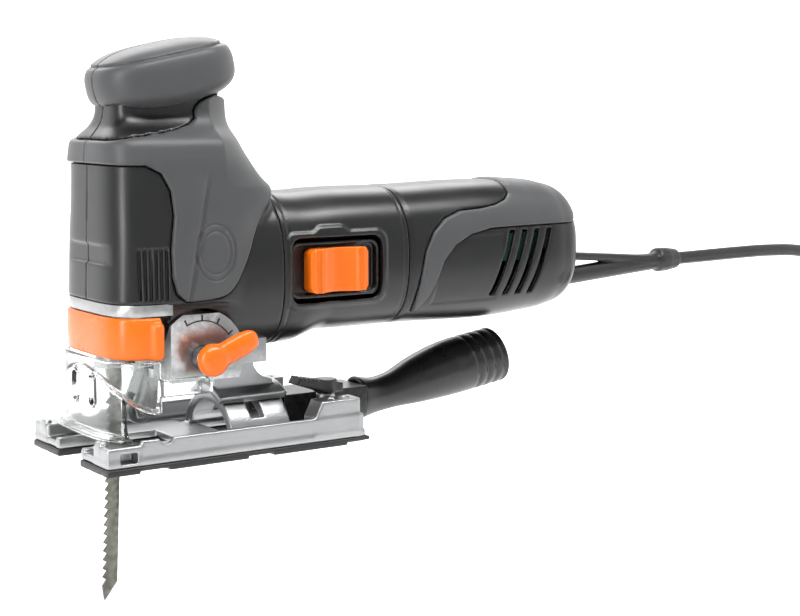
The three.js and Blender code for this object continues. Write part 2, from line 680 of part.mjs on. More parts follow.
// ---- dust extraction ----
const DUCT_HALF = 12;
const DUCT_END = 84;
function dustChannel() {
  const outside = block([HUB_REAR + 4, DUCT_END], [-DUCT_HALF, DUCT_HALF], [FLOOR_TOP + GAP, 21]);
  const inside = block([HUB_REAR + 3, DUCT_END + 1], [-DUCT_HALF + 2, DUCT_HALF - 2], [FLOOR_TOP + 2.3, 19]);
  return cut(outside, inside);
}

const NOZZLE_RINGS = [
  { x: DUCT_END + GAP, z: 13, half: 11 },
  { x: 94, z: 13.5, half: 9 },
  { x: 104, z: 15, half: 9 },
  { x: 119, z: 18.5, half: 11.5 },
  { x: 135, z: 22, half: 13.5 },
  { x: 170, z: 27.5, half: 14.2 },
];
const NOZZLE_WALL = 2;

function dustNozzle() {
  const body = (inset, stretch) =>
    solid(
      loft(
        NOZZLE_RINGS.map((s, i) => {
          const end = i === 0 ? -stretch : i === NOZZLE_RINGS.length - 1 ? stretch : 0;
          const lean = 0.22 * Math.min(1, i / 3);
          return oval(s.half - inset, s.half - inset, 2, 18).map(
            ([u, v]) => new THREE.Vector3(s.x + end - lean * v, u, s.z + v),
          );
        }),
      ),
    );
  return cut(body(0, 0), body(NOZZLE_WALL, 2));
}

function footClampLever() {
  const arm = prism("y", [LEVER_PIVOT[1] - 5, LEVER_PIVOT[1] + 5], [
    [37, 27.5],
    [39, 31],
    [62, 26.5],
    [62, LEVER_SEAT],
    [52, LEVER_SEAT],
  ]);
  return join(arm, bar("z", [LEVER_SEAT, 28.5], LEVER_PIVOT, 5.5));
}

// ---- motor housing and switch ----
const SWITCH_WINDOW = { x: [30, 79], z: [66.5, 96.5] };
function motorHousing() {
  const stations = [
    [SEAM_FRONT + GAP / 2, CHIN],
    [38, CHIN],
    [56, BARREL],
    [SEAM_REAR - GAP / 2, BARREL],
  ];
  const tube = (inset, extra) =>
    solid(
      loft(
        stations.map(([x, section], i) => {
          const ends = [-extra, 0, 0, extra];
          return barrelRing(x + ends[i], inset, section);
        }),
      ),
    );
  const window = block(SWITCH_WINDOW.x, [-60, -20], SWITCH_WINDOW.z);
  return cut(tube(0, 0), tube(WALL, 1), window);
}

function switchTray() {
  const { x, z } = SWITCH_WINDOW;
  const plate = block([x[0] - 2, x[1] + 2], [-26.9, -25.4], [z[0] + 1.5, z[1] - 1.5]);
  const rim = block([x[0] + GAP, x[1] - GAP], [-30.5, -26], [z[0] + 2, z[1] - 2]);
  const pocket = block([x[0] + 1.8, x[1] - 1.8], [-40, -27], [z[0] + 3.6, z[1] - 3.6]);
  const slot = block([42, 66], [-40, -20], [78, 84]);
  return cut(join(plate, rim), pocket, slot);
}

const SLIDER = { x: [39, 70], z: [71, 91.5] };
function switchSlider() {
  const outline = [
    [SLIDER.x[0], -27.3],
    [SLIDER.x[1], -27.3],
    [SLIDER.x[1], -35],
    [SLIDER.x[1] - 3, -35.4],
    [SLIDER.x[1] - 7, -34.2],
    [SLIDER.x[1] - 12, -32.4],
    [SLIDER.x[0] + 12, -32.4],
    [SLIDER.x[0] + 7, -34.2],
    [SLIDER.x[0] + 3, -35.4],
    [SLIDER.x[0], -35],
  ];
  const tongue = block([51, 57], [-29, -25.3], [79, 83]);
  return join(prism("z", SLIDER.z, outline), tongue);
}

const switchModule = () =>
  cut(
    block([103, 122], [-29, -17.5], [BARREL_Z - 9, BARREL_Z + 9]).intersect(rearBody(WALL + GAP, 0)),
    block([102, 104.5], [-60, 0], [BARREL_Z - 2, BARREL_Z + 2]),
  );

// ---- rear cover and its grip ----
const VENTS = { count: 4, first: 145, pitch: 8, width: 3.6, z: [63, 95], lean: 0.32 };
function rearCover() {
  const shell = cut(rearBody(0), rearBody(WALL, 2));
  const slots = Array.from({ length: VENTS.count }, (_, i) => {
    const x = VENTS.first + i * VENTS.pitch;
    const rise = (VENTS.z[1] - VENTS.z[0]) * VENTS.lean;
    return prism("y", [-60, 60], [
      [x, VENTS.z[0]],
      [x + VENTS.width, VENTS.z[0]],
      [x + VENTS.width + rise, VENTS.z[1]],
      [x + rise, VENTS.z[1]],
    ]);
  });
  const cord = bar("x", [190, 240], [0, SLEEVE_Z], SLEEVE_RADIUS + GAP, { sides: 16 });
  const strap = block(
    [190, 240],
    [-STRAP_WIDTH / 2 - GAP, STRAP_WIDTH / 2 + GAP],
    [STRAP_Z - STRAP_HALF - GAP, STRAP_Z + STRAP_HALF + GAP],
  );
  const dialSlot = block([DIAL.x - 9, DIAL.x + 9], [20, 60], [DIAL.z - 3, DIAL.z + 3]);
  return cut(shell, ...slots, cord, strap, dialSlot);
}

const REAR_GRIP_OUTLINE = [
  [98.5, 58],
  [107.5, 104.5],
  [158.5, 107],
  [168, 122],
  [203, 122],
  [203, 97],
  [183.7, 97.4],
  [119.5, 96.5],
  [105, 58],
];
function rearGrip() {
  const skin = cut(rearBody(-GAP - SKIN), rearBody(-GAP, 5));
  return skin.intersect(prism("y", [-60, 60], REAR_GRIP_OUTLINE));
}

const DIAL = { x: 128, z: 84, radius: 11 };
const DIAL_Y = 24;
const speedDial = () => bar("z", [DIAL.z - 2.6, DIAL.z + 2.6], [DIAL.x, DIAL_Y], DIAL.radius);

// ---- motor ----
const STATOR = [44, 84];
function stator() {
  const core = ring("x", STATOR, [0, BARREL_Z], 25, 17.5, 32);
  const key = block([STATOR[0], STATOR[1]], [-6, 6], [BARREL_Z - 29.5, BARREL_Z - 20]);
  return join(core, key);
}
const coils = (side) =>
  ring("x", [STATOR[0] - 8, STATOR[0] - GAP], [0, BARREL_Z], 24, 18.5, 32).intersect(
    block([0, 90], [-60, 60], side > 0 ? [BARREL_Z + 6, 130] : [30, BARREL_Z - 6]),
  );
const rotorShaft = () =>
  join(
    bar("x", [GEAR_FRONT - 1, SHIELD_REAR + 4], [0, BARREL_Z], SHAFT_RADIUS - 0.7, { sides: 12 }),
    bar("x", [SHIELD_FRONT + 1, 128], [0, BARREL_Z], 4, { sides: 16 }),
  );
const rotorCore = () => ring("x", [STATOR[0] + 1, STATOR[1] - 1], [0, BARREL_Z], 16.8, 4 + GAP, 28);
const commutator = () => ring("x", [102, 115], [0, BARREL_Z], 10.5, 4 + GAP, 24);

function coolingFan() {
  const hub = ring("x", [19, 27], [0, BARREL_Z], 8, 4 + GAP, 24);
  const disc = ring("x", [25, 27], [0, BARREL_Z], 23, 6, 32);
  const blades = Array.from({ length: 7 }, (_, i) => {
    const angle = (2 * Math.PI * i) / 7;
    const blade = new THREE.BoxGeometry(7, 15, 1.4).translate(22.5, 15, 0);
    return solid(blade.rotateX(angle).translate(0, 0, BARREL_Z));
  });
  return join(hub, disc, ...blades);
}

const frontBearing = () =>
  ring("x", [SHIELD_FRONT + 4, SHIELD_REAR + 2], [0, BARREL_Z], BEARING_RADIUS, 4 + 0.1, 24);
const rearBearing = () => ring("x", [119, 127], [0, BARREL_Z], 9, 4 + 0.1, 24);

function rearBracket() {
  const plate = block([118, 130], [-26, 22], [BARREL_Z - 13, BARREL_Z + 13]);
  const seat = bar("x", [110, 128], [0, BARREL_Z], 9 + GAP);
  const module = block([90, 124], [-60, -16], [BARREL_Z - 10, BARREL_Z + 10]);
  const dial = bar("z", [DIAL.z - 3, DIAL.z + 3], [DIAL.x, DIAL_Y], DIAL.radius + 0.6);
  return cut(plate, seat, module, dial);
}

const BRUSH = { x: [104.5, 112.5], reach: [10.9, 21] };
function brush(side) {
  const z = [BARREL_Z + side * BRUSH.reach[0], BARREL_Z + side * BRUSH.reach[1]];
  return block([BRUSH.x[0], BRUSH.x[1]], [-3, 3], z.sort((a, b) => a - b));
}
const controlBoard = () => block([140, 186], [-17, 17], [BARREL_Z - 6, BARREL_Z + 8]);

// ---- cord, coil and plug ----
const STRAP_Z = 77.4; // upper arm of the hanging loop
const STRAP_HALF = 2;
const STRAP_WIDTH = 8.4;
const SLEEVE_Z = CORD_Z - 6; // lower arm, round the cord
const SLEEVE_RADIUS = 4.6;

function cordGuard() {
  const inner = BODY_END - WALL - 6;
  const reach = GUARD_END - 11 - BODY_END;
  const arm = (piece, from, to) => {
    const rise = THREE.MathUtils.radToDeg(Math.atan2(to - from, reach));
    return piece.rotate([0, -rise, 0]).translate([BODY_END, 0, from]);
  };
  const width = [-STRAP_WIDTH / 2, STRAP_WIDTH / 2];
  const sleeve = bar("x", [0, reach], [0, 0], SLEEVE_RADIUS + 0.1, { end: SLEEVE_RADIUS, sides: 16 });
  const strap = block([0, reach], width, [-STRAP_HALF, STRAP_HALF]);
  const collar = bar("x", [GUARD_END - 15, GUARD_END], [0, CORD_Z], 6.6, { end: 5.4, sides: 16 });
  const root = join(
    bar("x", [inner, BODY_END + 1], [0, SLEEVE_Z], SLEEVE_RADIUS, { sides: 16 }),
    block([inner, BODY_END + 1], width, [STRAP_Z - STRAP_HALF, STRAP_Z + STRAP_HALF]),
    block([inner, BODY_END - WALL - 1.5], [-5.6, 5.6], [62, 81]),
  );
  return join(arm(sleeve, SLEEVE_Z, CORD_Z - 0.2), arm(strap, STRAP_Z, CORD_Z + 0.2), collar, root);
}

const COIL_OUTER = COIL_RADIUS + (COIL_ROWS / 2) * CORD_DIAMETER;
const COIL_INNER = COIL_RADIUS - (COIL_ROWS / 2) * CORD_DIAMETER;
const COIL_TOP = LYING_Z + COIL_ROWS * CORD_DIAMETER;
const CORD_LIE = LYING_Z + CORD_DIAMETER / 2;
const CORD_BESIDE = COIL_CENTRE[0] + COIL_OUTER + GAP + CORD_DIAMETER / 2;
const CORD_ROUTE = [
  [GUARD_END + GAP, 0, CORD_Z],
  [322, 0, 70.8],
  [348, 0, 71.2],
  [374, 0, 71.2],
  [400, 0, 69.6],
  [424, 0, 64],
  [446, -0.5, 52],
  [465, -2, 34],
  [CORD_BESIDE - 29.9, -4, 12],
  [CORD_BESIDE - 18.9, -7, -12],
  [CORD_BESIDE - 9.9, -12, -35],
  [CORD_BESIDE - 1.9, -20, -53],
  [CORD_BESIDE - 0.7, COIL_CENTRE[1] + 20, CORD_LIE + 1.6],
  [CORD_BESIDE, COIL_CENTRE[1] + 4, CORD_LIE],
];

function powerCord() {
  const route = new THREE.CatmullRomCurve3(CORD_ROUTE.map((p) => new THREE.Vector3(...p)));
  const circle = new THREE.Shape(
    Array.from({ length: 10 }, (_, i) => {
      const angle = (2 * Math.PI * i) / 10;
      return new THREE.Vector2(Math.cos(angle), Math.sin(angle)).multiplyScalar(CORD_DIAMETER / 2);
    }),
  );
  return solid(new THREE.ExtrudeGeometry(circle, { extrudePath: route, steps: 26, curveSegments: 1 }));
}

function cordCoil() {
  const corner = 5;
  const profile = [
    [COIL_INNER, LYING_Z + corner],
    [COIL_INNER + corner, LYING_Z],
    [COIL_OUTER - corner, LYING_Z],
    [COIL_OUTER, LYING_Z + corner],
    [COIL_OUTER, COIL_TOP - corner],
    [COIL_OUTER - corner, COIL_TOP],
    [COIL_INNER + corner, COIL_TOP],
    [COIL_INNER, COIL_TOP - corner],
    [COIL_INNER, LYING_Z + corner],
  ].map(([r, z]) => new THREE.Vector2(r, z));
  const lathe = new THREE.LatheGeometry(profile, 28).rotateX(Math.PI / 2);
  return solid(lathe.translate(COIL_CENTRE[0], COIL_CENTRE[1], 0));
}

const PLUG = { width: 36, thickness: 20, pin: 19 };
const PLUG_Z = COIL_TOP + 0.8 + PLUG.thickness / 2;
function mainsPlug() {
  const [x, y] = COIL_CENTRE;
  const half = PLUG.width / 2;
  const body = prism("z", [PLUG_Z - PLUG.thickness / 2, PLUG_Z + PLUG.thickness / 2], [
    [x - 14, y - 7],
    [x - 2, y - half],
    [x + 24, y - half],
    [x + 28, y - half + 4],
    [x + 28, y + half - 4],
    [x + 24, y + half],
    [x - 2, y + half],
    [x - 14, y + 7],
  ]);
  const pins = [-9.5, 9.5].map((offset) =>
    bar("x", [x + 27, x + 28 + PLUG.pin], [y + offset, PLUG_Z], 2.4, { sides: 12 }),
  );
  const relief = bar("x", [x - 34, x - 13], [y, PLUG_Z], 4.6, { end: 6.2, sides: 12 });
  return join(body, ...pins, relief);
}

function cordTie() {
  const [x, y] = COIL_CENTRE;
  const inner = [COIL_INNER - 2.4, COIL_OUTER + 0.6];
  const wall = 1.6;
  const place = [y - inner[1], y - inner[0]];
  const outside = block([x - 6, x + 6], [place[0] - wall, place[1] + wall], [LYING_Z + 1.2, COIL_TOP + 0.6]);
  const hole = block([x - 9, x + 9], place, [LYING_Z - 3, COIL_TOP + 0.3]);
  return cut(outside, hole);
}

// ---- materials ----
const finish = (color, roughness, metalness = 0, opacity = 1) =>
  new THREE.MeshStandardMaterial({ color, roughness, metalness, opacity, transparent: opacity < 1 });
const BLACK = finish(0x17181a, 0.55);
const GREY = finish(0x66686a, 0.75);
const ORANGE = finish(0xf07c12, 0.32);
const CAST = finish(0xb9bbbb, 0.42, 0.9);
const STEEL = finish(0x8d8d88, 0.35, 1);
const BRONZE = finish(0x9a6a3a, 0.45, 1);
const COPPER = finish(0xa8562a, 0.5, 0.8);
const RUBBER = finish(0x101011, 0.65);
const CLEAR = finish(0xe8eef0, 0.08, 0, 0.35);
const BOARD = finish(0x2b5d3a, 0.6);
const GRAPHITE = finish(0x2a2a2c, 0.7);

// ---- assembly ----
const jigsaw = new THREE.Group();
function add(name, piece, material) {
  const { vertProperties, triVerts } = piece.getMesh();
  const geometry = new THREE.BufferGeometry();
  geometry.setAttribute("position", new THREE.BufferAttribute(vertProperties, 3));
  geometry.setIndex(new THREE.BufferAttribute(triVerts, 1));
  const mesh = new THREE.Mesh(geometry, material);
  mesh.name = name;
  jigsaw.add(mesh);
}

const shells = headShells();
add("head_shell_left", shells.left, BLACK);
add("head_shell_right", shells.right, BLACK);
const grips = headGrips();
add("head_grip_left", grips.left, GREY);
add("head_grip_right", grips.right, GREY);
const knobs = knobCovers();
add("knob_cover_left", knobs.left, GREY);
add("knob_cover_right", knobs.right, GREY);
add("gearbox_housing", gearboxHousing(), CAST);
add("bearing_shield", bearingShield(), CAST);
add("plunger_bush_lower", bushes().lower, BRONZE);
add("plunger_bush_upper", bushes().upper, BRONZE);
add("gear_axle", gearAxle(), STEEL);
add("crank_gear", crankGear(), STEEL);
add("drive_pinion", drivePinion(), STEEL);
add("plunger", plunger(), STEEL);
add("blade_clamp", bladeClamp(), STEEL);
add("saw_blade", sawBlade(), STEEL);
add("orbital_fork", orbitalFork(), STEEL);
add("roller_axle", rollerAxle(), STEEL);
add("guide_roller", guideRoller(), STEEL);
add("fork_pin", forkPin(), STEEL);
add("orbital_lever", orbitalLever(), ORANGE);
add("orbital_cam", orbitalCam(), STEEL);
add("release_lever", releaseLever(), ORANGE);
add("release_pin", releasePin(), STEEL);
add("chip_guard", chipGuard(), CLEAR);
add("foot_guard", footGuard(), CLEAR);
add("foot_plate", footPlate(), CAST);
add("sole_shoe", soleShoe(), RUBBER);
add("dust_channel", dustChannel(), BLACK);
add("dust_nozzle", dustNozzle(), RUBBER);
add("foot_clamp_lever", footClampLever(), BLACK);
add("tilt_segment", tiltSegment(), CAST);
add("clamp_bolt", clampBolt(), STEEL);
add("clamp_nut", clampNut(), STEEL);
add("motor_housing", motorHousing(), BLACK);
add("switch_tray", switchTray(), BLACK);
add("switch_slider", switchSlider(), ORANGE);
add("switch_module", switchModule(), BLACK);
add("rear_cover", rearCover(), BLACK);
add("rear_grip", rearGrip(), GREY);
add("speed_dial", speedDial(), BLACK);
add("stator", stator(), STEEL);
add("field_coil_upper", coils(1), COPPER);
add("field_coil_lower", coils(-1), COPPER);
add("rotor_shaft", rotorShaft(), STEEL);
add("rotor_core", rotorCore(), COPPER);
add("commutator", commutator(), COPPER);
add("cooling_fan", coolingFan(), BLACK);
add("front_bearing", frontBearing(), STEEL);
add("rear_bearing", rearBearing(), STEEL);
add("rear_bracket", rearBracket(), BLACK);
for (const [side, word] of [[1, "upper"], [-1, "lower"]]) {
  add(`brush_${word}`, brush(side), GRAPHITE);
}
add("control_board", controlBoard(), BOARD);
add("cord_guard", cordGuard(), RUBBER);
add("power_cord", powerCord(), RUBBER);
add("cord_coil", cordCoil(), RUBBER);
add("cord_tie", cordTie(), RUBBER);
add("mains_plug", mainsPlug(), RUBBER);

export default jigsaw;
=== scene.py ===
# %% [markdown]
# # A barrel-grip jigsaw
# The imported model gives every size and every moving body. This lesson dresses it: each casing,
# grip and casting gets a fine surface with true fillets, seams and textures, and each piece
# rides on the body that carries it.

import json
import math

import bmesh
import bpy
import numpy as np
from mathutils import Matrix, Vector

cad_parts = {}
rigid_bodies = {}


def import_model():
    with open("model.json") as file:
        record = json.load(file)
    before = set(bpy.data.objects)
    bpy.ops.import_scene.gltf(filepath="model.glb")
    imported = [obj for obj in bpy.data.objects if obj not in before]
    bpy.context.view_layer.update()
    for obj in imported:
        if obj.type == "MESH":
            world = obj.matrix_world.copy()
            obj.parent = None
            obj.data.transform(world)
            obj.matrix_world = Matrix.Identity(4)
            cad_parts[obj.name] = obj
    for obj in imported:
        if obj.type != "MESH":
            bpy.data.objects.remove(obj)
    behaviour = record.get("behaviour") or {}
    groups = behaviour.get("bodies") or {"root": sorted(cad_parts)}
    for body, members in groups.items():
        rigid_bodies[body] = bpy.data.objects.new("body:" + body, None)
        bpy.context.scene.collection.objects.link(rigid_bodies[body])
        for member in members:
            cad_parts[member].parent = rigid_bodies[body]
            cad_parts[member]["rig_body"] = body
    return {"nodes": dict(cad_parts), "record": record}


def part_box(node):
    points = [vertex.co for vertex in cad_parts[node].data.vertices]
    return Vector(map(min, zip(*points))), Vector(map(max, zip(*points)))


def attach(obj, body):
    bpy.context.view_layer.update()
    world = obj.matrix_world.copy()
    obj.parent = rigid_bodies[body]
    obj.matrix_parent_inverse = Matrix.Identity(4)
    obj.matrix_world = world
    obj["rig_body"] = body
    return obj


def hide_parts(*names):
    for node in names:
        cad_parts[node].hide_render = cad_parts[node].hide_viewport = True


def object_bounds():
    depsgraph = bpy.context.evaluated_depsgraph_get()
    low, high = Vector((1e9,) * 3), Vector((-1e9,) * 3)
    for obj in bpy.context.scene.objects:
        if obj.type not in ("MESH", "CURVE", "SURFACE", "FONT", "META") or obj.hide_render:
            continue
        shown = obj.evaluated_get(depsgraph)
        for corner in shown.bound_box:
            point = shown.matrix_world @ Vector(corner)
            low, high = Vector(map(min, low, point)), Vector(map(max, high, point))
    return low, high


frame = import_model()
cad_bounds = [list(corner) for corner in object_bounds()]
MM = 0.001

# %% [markdown]
# ## Stage, camera and light
# A studio shot of a tool uses a pale sweep, one long soft box overhead that draws a bright line
# along the barrel, and a tall one at the front that outlines the head. The camera is a long
# lens at a three-quarter view, slightly from above.

# %% Camera
CAMERA_PLACE = Vector((-0.348, -0.671, 0.160))
AZIMUTH = math.radians(-34.4)
ELEVATION = math.radians(7.3)


def look_matrix(azimuth, elevation):
    """Columns are right, up and back: back is (sin a cos e, -cos a cos e, sin e) and right is level."""
    right = Vector((math.cos(azimuth), math.sin(azimuth), 0))
    back = Vector((math.sin(azimuth) * math.cos(elevation),
                   -math.cos(azimuth) * math.cos(elevation), math.sin(elevation)))
    return Matrix((right, back.cross(right), back)).transposed()


camera_data = bpy.data.cameras.new("camera")
camera_data.lens = 73.8
camera_data.sensor_width = 36
camera = bpy.data.objects.new("camera", camera_data)
camera.matrix_world = Matrix.Translation(CAMERA_PLACE) @ look_matrix(AZIMUTH, ELEVATION).to_4x4()
bpy.context.scene.collection.objects.link(camera)
bpy.context.scene.camera = camera
print("camera", tuple(CAMERA_PLACE))

# %% Floor and lights
FLOOR_Z = cad_bounds[0][2]


def plain_material(name, colour, roughness):
    """A uniform matt surface for the studio."""
    made = bpy.data.materials.new(name)
    made.use_nodes = True
    shader = made.node_tree.nodes["Principled BSDF"]
    shader.inputs["Base Color"].default_value = (*colour, 1)
    shader.inputs["Roughness"].default_value = roughness
    return made


def bowl(radius, curve, height, count=96):
    """Rings of a round stage: flat to radius, then a quarter circle of size curve, then a wall."""
    bend = np.linspace(0, math.pi / 2, 13)
    out = np.concatenate([[0.02, radius * 0.5], radius + curve * np.sin(bend), [radius + curve]])
    up = np.concatenate([[0, 0], curve * (1 - np.cos(bend)), [height]])
    turn = np.linspace(0, 2 * math.pi, count, endpoint=False)
    points = np.stack([out[:, None] * np.cos(turn), out[:, None] * np.sin(turn),
                       FLOOR_Z + up[:, None] + 0 * turn], 2).reshape(-1, 3)
    ring, step = np.meshgrid(np.arange(len(out) - 1), np.arange(count), indexing="ij")
    after = (step + 1) % count
    quads = np.stack([ring * count + step, (ring + 1) * count + step, (ring + 1) * count + after,
                      ring * count + after], 2).reshape(-1, 4)
    return points, [tuple(range(count))] + quads.tolist()


floor_mesh = bpy.data.meshes.new("floor")
points, faces = bowl(2.4, 0.9, 2.6)
floor_mesh.from_pydata(points, [], faces)
floor_mesh.polygons.foreach_set("use_smooth", np.ones(len(faces), bool))
floor_finish = plain_material("studio_floor", (0.9, 0.9, 0.9), 0.7)
floor_shader = floor_finish.node_tree.nodes["Principled BSDF"]
floor_shader.inputs["Emission Color"].default_value = (1, 1, 1, 1)
floor_mesh.materials.append(floor_finish)
floor = bpy.data.objects.new("floor", floor_mesh)
bpy.context.scene.collection.objects.link(floor)


def softbox(name, place, target, size, power):
    """A rectangular area light at place that faces target; size is (width, height) in metres."""
    light = bpy.data.lights.new(name, "AREA")
    light.shape = "RECTANGLE"
    light.size, light.size_y = size
    light.energy = power
    lamp = bpy.data.objects.new(name, light)
    lamp.location = place
    lamp.rotation_euler = (Vector(target) - Vector(place)).to_track_quat("-Z", "Y").to_euler()
    bpy.context.scene.collection.objects.link(lamp)


softbox("ceiling", (0.1, 0.1, 2.3), (0.1, 0.1, 0), (2.2, 2.2), 16)
softbox("crown_box", (0.35, 1.10, 1.05), (0.08, 0.0, 0.10), (1.7, 0.6), 14)
softbox("overhead_box", (0.10, -0.30, 0.80), (0.08, 0.0, 0.10), (1.0, 0.16), 9)
softbox("front_box", (-0.95, -0.20, 0.40), (-0.03, 0.0, 0.09), (0.20, 0.9), 7)

world = bpy.data.worlds.new("studio")
bpy.context.scene.world = world
world.use_nodes = True
sky = world.node_tree.nodes["Background"]
sky.inputs["Color"].default_value = (1.0, 1.0, 1.0, 1)
sky.inputs["Strength"].default_value = 0.12
bpy.context.scene.view_settings.view_transform = "Standard"
print("floor at", round(FLOOR_Z, 4))

# %% [markdown]
# ## Finishes
# Real moulded plastic is never one flat colour: the tool that formed it was spark-eroded, so it
# has a fine grain, its gloss drifts a little, and handling polishes its edges. Those effects are
# shared node groups. Each material keeps its own shader and gives the groups its own values.

# %% Node groups
def new_group(name, inputs, outputs):
    """An empty shader group with named sockets; inputs hold (label, kind, value)."""
    tree = bpy.data.node_groups.new(name, "ShaderNodeTree")
    for label, kind, value in inputs:
        tree.interface.new_socket(label, in_out="INPUT", socket_type=kind).default_value = value
    for label, kind in outputs:
        tree.interface.new_socket(label, in_out="OUTPUT", socket_type=kind)
    start = tree.nodes.new("NodeGroupInput")
    end = tree.nodes.new("NodeGroupOutput")
    return tree, start.outputs, end.inputs


def add_node(tree, kind, values=None, links=None, **settings):
    """A node with settings, socket values and links from other sockets."""
    node = tree.nodes.new("ShaderNode" + kind)
    for key, value in settings.items():
        setattr(node, key, value)
    for key, value in (values or {}).items():
        node.inputs[key].default_value = value
    for key, source in (links or {}).items():
        tree.links.new(source, node.inputs[key])
    return node


# The backdrop glows behind the tool and not in front of it, so that the black casings have
# something dark to reflect in front. Its strength rises along a level direction to the back.
BACKWARD = (0.56, 0.82, 0.0)
floor_nodes = floor_finish.node_tree
floor_place = add_node(floor_nodes, "TexCoord").outputs["Object"]
behind = add_node(floor_nodes, "VectorMath", {1: BACKWARD}, {0: floor_place}, operation="DOT_PRODUCT")
glow = add_node(floor_nodes, "MapRange", {"From Min": -0.35, "From Max": 0.45, "To Max": 0.75},
                {"Value": behind.outputs["Value"]}, interpolation_type="SMOOTHSTEP")
floor_nodes.links.new(glow.outputs[0], floor_shader.inputs["Emission Strength"])

FLOAT, VECTOR = "NodeSocketFloat", "NodeSocketVector"

# Moulded grain: tiny pits for the surface, and large soft patches where the gloss drifts.
grain, given, out = new_group(
    "moulded_grain",
    [("Vector", VECTOR, (0, 0, 0)), ("Scale", FLOAT, 2500.0), ("Patch Scale", FLOAT, 30.0)],
    [("Height", FLOAT), ("Patch", FLOAT)],
)
pits = add_node(grain, "TexNoise", {"Detail": 2.0, "Roughness": 0.6},
                {"Vector": given["Vector"], "Scale": given["Scale"]})
patch = add_node(grain, "TexNoise", {"Detail": 3.0},
                 {"Vector": given["Vector"], "Scale": given["Patch Scale"]})
grain.links.new(pits.outputs[0], out["Height"])
grain.links.new(patch.outputs[0], out["Patch"])

# Edge wear: outward corners, broken up by noise.
wear, given, out = new_group(
    "edge_wear",
    [("Vector", VECTOR, (0, 0, 0)), ("Start", FLOAT, 0.53), ("End", FLOAT, 0.62), ("Scale", FLOAT, 400.0)],
    [("Mask", FLOAT)],
)
shape = add_node(wear, "NewGeometry")
corner = add_node(wear, "MapRange", links={"Value": shape.outputs["Pointiness"], "From Min": given["Start"],
                                           "From Max": given["End"]})
breaks = add_node(wear, "TexNoise", {"Detail": 4.0}, {"Vector": given["Vector"], "Scale": given["Scale"]})
strength = add_node(wear, "MapRange", {"From Min": 0.35, "From Max": 0.65}, {"Value": breaks.outputs[0]})
mask = add_node(wear, "Math", links={0: corner.outputs[0], 1: strength.outputs[0]}, operation="MULTIPLY")
wear.links.new(mask.outputs[0], out["Mask"])

# Drawn lines: noise stretched along one direction, as grinding and drawing leave it.
lines, given, out = new_group(
    "drawn_lines",
    [("Vector", VECTOR, (0, 0, 0)), ("Stretch", VECTOR, (1, 1, 1)), ("Scale", FLOAT, 200.0)],
    [("Height", FLOAT)],
)
stretched = add_node(lines, "VectorMath", links={0: given["Vector"], 1: given["Stretch"]},
                     operation="MULTIPLY")
streaks = add_node(lines, "TexNoise", {"Detail": 3.0},
                   {"Vector": stretched.outputs[0], "Scale": given["Scale"]})
lines.links.new(streaks.outputs[0], out["Height"])
print("groups", [group.name for group in bpy.data.node_groups])

# %% Material builder
materials = {}


def surface(name, colour, roughness, metallic=0.0, *, grain_scale=2500.0, grain_depth=0.02, drift=0.12,
            spread=0.06, worn=None, coat=0.0, stretch=None, sheen=0.0, patch_scale=30.0, gloss_level=0.5):
    """Grain and drift on one base colour; worn is the colour that shows on its edges."""
    made = bpy.data.materials.new(name)
    made.use_nodes = True
    tree = made.node_tree
    shader = tree.nodes["Principled BSDF"]
    shader.inputs["Metallic"].default_value = metallic
    shader.inputs["Coat Weight"].default_value = coat
    shader.inputs["Coat Roughness"].default_value = 0.12
    shader.inputs["Sheen Weight"].default_value = sheen
    shader.inputs["Specular IOR Level"].default_value = gloss_level
    place = add_node(tree, "TexCoord").outputs["Object"]
    texture = add_node(tree, "Group", node_tree=grain)
    tree.links.new(place, texture.inputs["Vector"])
    texture.inputs["Scale"].default_value = grain_scale
    texture.inputs["Patch Scale"].default_value = patch_scale
    dark = tuple(c * (1 - drift) for c in colour)
    light = tuple(min(c * (1 + drift), 1) for c in colour)
    tone = add_node(tree, "Mix", {6: (*dark, 1), 7: (*light, 1)}, {0: texture.outputs["Patch"]},
                    data_type="RGBA")
    last = tone.outputs[2]
    if worn:
        edges = add_node(tree, "Group", node_tree=wear)
        tree.links.new(place, edges.inputs["Vector"])
        rubbed = add_node(tree, "Mix", {7: (*worn, 1)}, {0: edges.outputs["Mask"], 6: last}, data_type="RGBA")
        last = rubbed.outputs[2]
    tree.links.new(last, shader.inputs["Base Color"])
    gloss = add_node(tree, "MapRange", {"To Min": roughness - spread, "To Max": roughness + spread},
                     {"Value": texture.outputs["Patch"]})
    tree.links.new(gloss.outputs[0], shader.inputs["Roughness"])
    height = texture.outputs["Height"]
    if stretch:
        marks = add_node(tree, "Group", node_tree=lines)
        tree.links.new(place, marks.inputs["Vector"])
        marks.inputs["Stretch"].default_value = stretch
        both = add_node(tree, "Math", links={0: height, 1: marks.outputs["Height"]}, operation="ADD")
        height = both.outputs[0]
    bump = add_node(tree, "Bump", {"Strength": 1.0, "Distance": grain_depth * MM}, {"Height": height})
    tree.links.new(bump.outputs["Normal"], shader.inputs["Normal"])
    materials[name] = made
    return made


# %% [markdown]
# Black glass-filled nylon, grey soft rubber, glossy orange, blasted die-cast aluminium and ground
# steel are what a buyer sees. The inner parts get copper, bronze, carbon and board finishes.

